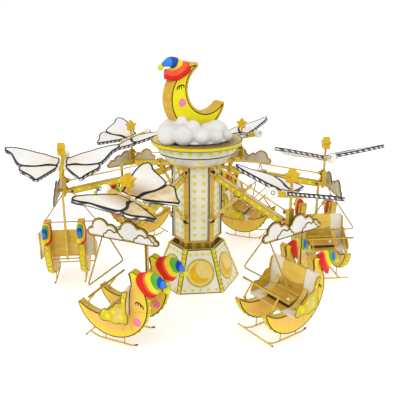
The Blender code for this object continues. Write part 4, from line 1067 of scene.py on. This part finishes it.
PLATE = notched(crescent(OUTER, INNER, 0.035))
HORN = rounded([(-0.350, 1.93), (-0.325, 2.10), (-0.306, 2.255), (-0.345, 2.285), (-0.440, 2.265),
                (-0.540, 2.20), (-0.60, 2.10), (-0.63, 1.93)], 0.04)
LID = [(-0.452, 1.482), (-0.50, 1.490), (-0.575, 1.455), (-0.655, 1.398)]
LASHES = [((-0.46, 1.482), (-0.440, 1.420)), ((-0.515, 1.485), (-0.510, 1.405)),
          ((-0.585, 1.448), (-0.585, 1.365)), ((-0.645, 1.405), (-0.660, 1.330))]
CREASES = [
    [(-0.398, 1.196), (-0.596, 1.252), (-0.771, 1.223)], [(-0.088, 0.755), (-0.071, 0.606), (-0.13, 0.474)],
    [(-0.291, 0.806), (-0.305, 0.701), (-0.399, 0.562)],
]
gondola = Piece()
faces = Piece()
for out in PLATES:
    gondola.slab(beside(out), PLATE, -PLATE_HALF, PLATE_HALF, FACE, EDGE_GOLD, bevel=0.004)
    gondola.slab(beside(out), HORN, -0.004 - PLATE_HALF, PLATE_HALF + 0.004, FACE, EDGE_GOLD)
    gondola.stroke(beside(out), arc(OUTER[:2], 1.031, -16, -234, 64), 0.006, -0.080, 0.080, STRIP_YELLOW)
    gondola.stroke(beside(out), arc(INNER[:2], 0.929, 160, 309, 40), 0.005, -0.074, 0.074, PALE_GOLD)
    for direction in (-1, 1):
        place = beside(out, direction)
        low, high = PLATE_HALF - 0.002, PLATE_HALF + 0.003
        faces.band(place, PLATE, 0.000, 0.024, PLATE_HALF - 0.006, PLATE_HALF + 0.002, OUTLINE)
        faces.stroke(place, [(x - 0.034, y) for x, y in TUB[2:15]], 0.020, PLATE_HALF - 0.006, high, OUTLINE)
        faces.stroke(place, inset(HORN, 0.008)[3:-3], 0.018, PLATE_HALF, PLATE_HALF + 0.006, OUTLINE)
        sleeping_face(faces, place, LID, LASHES, [0.030, 0.036, 0.022], ((-0.468, 0.93), 0.115), low, high)
        for crease in CREASES:
            faces.stroke(place, curve(crease, 6, closed=False), 0.008, low, PLATE_HALF + 0.0015, OLIVE)
    for number in range(16):
        angle = math.radians(-22 - 11.2 * number)
        outward = at(0.0, math.cos(angle), math.sin(angle))
        across = Vector((1, 0, 0))
        on_edge = plane(at(out, *OUTER[:2]) + outward * 1.030, across, outward.cross(across))
        gondola.lamp(on_edge, 0.0, 0.0, 0.050, LAMP if number % 2 else LAMP_GOLD, height=0.85)
    ear = rounded(oblong(0.985, 1.055, 0.99, 1.155), 0.03)
    gondola.slab(beside(out + 0.028), ear, 0.0, 0.024, EDGE_GOLD, bevel=0.002)
    gondola.tube([at(out - 0.03, *HINGE), at(out + 0.058, *HINGE)], 0.0118, BROWN, sides=12)

# Curved sheet of the tub: white at the sides and gold between the moon plates, with a lighter backing
for low, high in ((TUB_LEFT, SEAT[0] - 0.002), (SEAT[1] + 0.002, TUB_RIGHT)):
    gondola.stroke(beside(0.0), TUB, 0.044, low, high, STRIP)
gondola.stroke(beside(0.0), TUB, 0.038, SEAT[0] - 0.005, SEAT[1] + 0.005, SEAT_DARK)
backing = [(x - 0.026, y) for x, y in TUB[:16]]
gondola.stroke(beside(0.0), backing, 0.014, SEAT[0] - 0.01, SEAT[1] + 0.01, SEAT_GOLD)

# Seat: its back, pan and riser, and the rails across the tub
back = []
for step in range(17):
    share = step / 8 - 1
    top, bottom = 1.885 + 0.02 * (1 - share**2), 1.51 - 0.09 * (1 - share**2)
    heights = [bottom + (top - bottom) * part / 10 for part in range(11)]
    front = [(-0.187 - 0.075 * max(0.0, (up - 1.45) / 0.45) ** 2, up) for up in heights]
    rear = [(x - 0.028, up) for x, up in front[::-1]]
    back.append([at(4.02 + 0.40 * share, x, y) for x, y in front + rear])
gondola.rings(back, SEAT_GOLD)
pan = rounded([(-0.20, 1.235), (0.26, 1.085), (0.29, 1.062), (0.27, 1.03), (-0.20, 1.19)], 0.010, 3)
gondola.slab(beside(0.0), pan, *SEAT, SEAT_DARK, bevel=0.004)
riser = [(0.245, 1.045), (0.275, 1.040), (0.305, 0.97), (0.275, 0.97)]
gondola.slab(beside(0.0), riser, *SEAT, BROWN)
for forward, up, size in ((0.282, 1.064, 0.036), (0.548, 0.962, 0.040)):
    gondola.bar(at(SEAT[0], forward, up), at(SEAT[1], forward, up), size, size * 0.8, PALE_GOLD, 0.005)
start, end = SEAT[0] - 0.02, SEAT[1] + 0.02
gondola.tube([at(start, -0.44, 1.02), at(end, -0.44, 1.02)], 0.022, GOLD, sides=16)
gondola.bar(at(start, -0.03, 1.222), at(end, -0.03, 1.222), 0.036, 0.030, PALE_GOLD, 0.005)

# Wavy ornaments outside the tub
WAVY = curve([
    (0.499, 0.987), (0.464, 1.085), (0.390, 1.217), (0.323, 1.260), (0.234, 1.235), (0.145, 1.318),
    (0.070, 1.362), (0.007, 1.455), (-0.072, 1.490), (-0.156, 1.500), (-0.163, 1.614), (-0.182, 1.721),
    (-0.222, 1.815), (-0.276, 1.843), (-0.360, 1.825), (-0.330, 1.701), (-0.309, 1.595), (-0.292, 1.419),
    (-0.294, 1.281), (-0.344, 1.206), (-0.343, 1.084), (-0.324, 0.965), (-0.215, 0.938), (-0.106, 0.930),
    (0.005, 0.892), (0.095, 0.915), (0.200, 0.930), (0.354, 0.905), (0.445, 0.930)], 3)
PATCH = curve([(0.03, 0.985), (0.04, 1.10), (0.02, 1.22), (-0.05, 1.37), (-0.13, 1.32), (-0.20, 1.20),
               (-0.235, 1.02), (-0.12, 0.99)], 4)
SPOTS = [(0.233, 1.068, 0.070), (0.060, 1.215, 0.050), (-0.143, 1.123, 0.066), (-0.22, 1.60, 0.042)]
for out, direction in ((TUB_RIGHT, 1), (TUB_LEFT, -1)):
    outside, inside = beside(out, direction), beside(out, -direction)
    gondola.slab(outside, WAVY, 0.002, 0.037, OUTLINE, GOLD)
    gondola.slab(outside, inset(WAVY, 0.017), 0.030, 0.040, STRIP_YELLOW)
    gondola.slab(outside, PATCH, 0.036, 0.0415, ORNAMENT_TAN)
    for x, y, radius in SPOTS:
        gondola.slab(outside, circle((x, y), radius, 24), 0.036, 0.043, TOP_MOON)
    gondola.slab(inside, inset(WAVY, 0.012), -0.006, 0.0, GOLD)

# Drop post with its gooseneck, skids, foot rest and small knobs
gooseneck = curve([(0.0, 2.93), (-0.086, 2.925), (-0.119, 3.021), (-0.190, 3.081), (-0.281, 3.079),
                   (-0.394, 2.996), (-0.442, 2.890), (POST_BACK, 2.78)], 5, closed=False)
gooseneck += [(POST_BACK, 2.0), (POST_BACK, 0.985)]
gondola.stroke(beside(POLE_OUT), gooseneck, 0.076, -0.032, 0.032, PALE_GOLD)
runner = curve([(1.05, 0.25), (0.96, 0.205), (0.88, 0.17), (0.73, 0.136), (0.50, 0.130), (0.0, 0.127),
                (-0.22, 0.130), (-0.36, 0.18)], 4, closed=False)
for side in (-1, 1):
    out = POLE_OUT + side * 0.0315
    start, end = at(out, POST_BACK, 1.03), at(out, POST_BACK, 2.85)
    gondola.bar(start, end, 0.004, 0.034, BROWN, 0.001, up=(0, 1, 0))
    out = POLE_OUT + side * 0.46
    gondola.tube([at(out, x, y) for x, y in runner], 0.0215, GOLD)
    gondola.tube([at(out, x, y) for x, y in runner[-3:]], 0.0235, BROWN)
    for forward in (0.02, 0.58):
        foot = at(out, forward, 0.13)
        gondola.tube([foot, at(out, forward, 0.50)], 0.0155, GOLD)
        gondola.tube([foot, at(out, forward, 0.16)], 0.026, EDGE_GOLD, sides=12)
gondola.tube([at(3.34, *FOOT_REST), at(4.66, *FOOT_REST)], 0.0195, GOLD)
for out in (3.335, 4.645):
    gondola.tube([at(out, *FOOT_REST), at(out + 0.02, *FOOT_REST)], 0.0225, BROWN)
gondola.tube([at(4.30, 0.24, 0.99), at(4.30, 0.20, 1.10)], 0.012, EDGE_GOLD)
gondola.ball(at(4.30, 0.20, 1.125), 0.045, BALL_WHITE)
gondola.ball(at(3.625, 0.87, 0.66), 0.052, KNOB, squash=(0.6, 1, 1))
show_on_arms(gondola, "crescent_gondola", "carrier", "gondola")
show_on_arms(faces, "gondola_lines", "carrier")

caps = Piece()
for out in PLATES:
    cap(caps, beside(out), [
        (-0.722, 1.955, 0.655, 0.755, 0.351), (-0.832, 2.030, 0.474, 0.880, 0.295),
        (-0.892, 2.052, 0.500, 0.866, 0.280), (-0.985, 2.110, 0.443, 0.897, 0.215),
        (-1.088, 2.105, 0.164, 0.986, 0.150), (-1.155, 2.070, -0.100, 0.995, 0.100),
        (-1.240, 2.000, -0.360, 0.930, 0.050),
    ], 0.150, 0.135, ["red", "orange", "yellow", "green", "blue", "sky"], ((-1.275, 1.930), 0.078))
show_on_arms(caps, "gondola_nightcaps", "carrier")

# Lap bar
lap = Piece()
for half, up, wide, high, look, bevel in (
        (0.848, 1.47, 0.050, 0.046, OLIVE, 0.008), (0.60, 1.47, 0.054, 0.036, GOLD, 0.004),
        (0.40, 1.493, 0.010, 0.004, OUTLINE, 0.001)):
    start, end = at(POLE_OUT - half, BAR_FORWARD, up), at(POLE_OUT + half, BAR_FORWARD, up)
    lap.bar(start, end, wide, high, look, bevel)
for out in PLATES:
    lever = [(1.025, 1.113), (0.99, 1.16), (0.93, 1.24), (0.86, 1.335), (0.80, 1.415), (0.765, 1.463)]
    lap.stroke(beside(out), lever, [0.030, 0.046, 0.054, 0.050, 0.036, 0.022], -0.012, 0.012, PALE_GOLD)
    hub = mirrored([(0.015, 0.024), (0.028, 0.024), (0.030, 0.020)])
    lap.turned(beside(out), hub, EDGE_GOLD, 20, HINGE, closed=True)
show_on_arms(lap, "flat_lap_bar", "lap_bar", "lap_bar")


# Stage, lights and camera

floor = Piece()
pale = finish("floor", (246, 246, 246), (242, 242, 242), (0.6, 0.8), 0.6)
glow = pale.node_tree.nodes["Principled BSDF"].inputs
glow["Emission Color"].default_value = (1.0, 1.0, 1.0, 1.0)
glow["Emission Strength"].default_value = 0.42
floor.slab(level, circle(ORIGIN, 60, 64), -0.06, -0.001, pale)
floor_object = link(bpy.data.objects.new("studio_floor", floor.mesh("studio_floor")))

world = bpy.data.worlds.new("studio")
bpy.context.scene.world = world
world.use_nodes = True
sky = world.node_tree.nodes["Background"].inputs
sky["Color"].default_value = (1.0, 1.0, 1.0, 1.0)
sky["Strength"].default_value = 1.0


def softbox(name, place, target, size, power):
    data = bpy.data.lights.new(name, "AREA")
    data.size = size
    data.energy = power
    lamp_object = link(bpy.data.objects.new(name, data))
    lamp_object.location = place
    lamp_object.rotation_euler = (Vector(target) - Vector(place)).to_track_quat("-Z", "Y").to_euler()


softbox("key", (-9.0, -14.0, 16.0), (0.0, 0.0, 2.5), 7.0, 900.0)
softbox("fill", (13.0, -9.0, 9.0), (0.0, 0.0, 2.0), 10.0, 200.0)
softbox("rim", (2.0, 14.0, 13.0), (0.0, 0.0, 3.0), 9.0, 150.0)

# Camera as fitted to the photograph: its turn and rise about the point that it looks at, in radians
TURN, RAISE = -0.10242, 0.32373
DISTANCE, AIM_HEIGHT = 17.254, 2.621
back_way = Vector((math.sin(TURN) * math.cos(RAISE), -math.cos(TURN) * math.cos(RAISE), math.sin(RAISE)))
view = bpy.data.cameras.new("photo_view")
view.lens = 50.014
view.sensor_width = 36.0
view.shift_x = 0.00812
camera = link(bpy.data.objects.new("photo_view", view))
camera.location = Vector((0.0, 0.0, AIM_HEIGHT)) + back_way * DISTANCE
camera.rotation_euler = (-back_way).to_track_quat("-Z", "Y").to_euler()
bpy.context.scene.camera = camera
bpy.context.scene.view_settings.view_transform = "Standard"
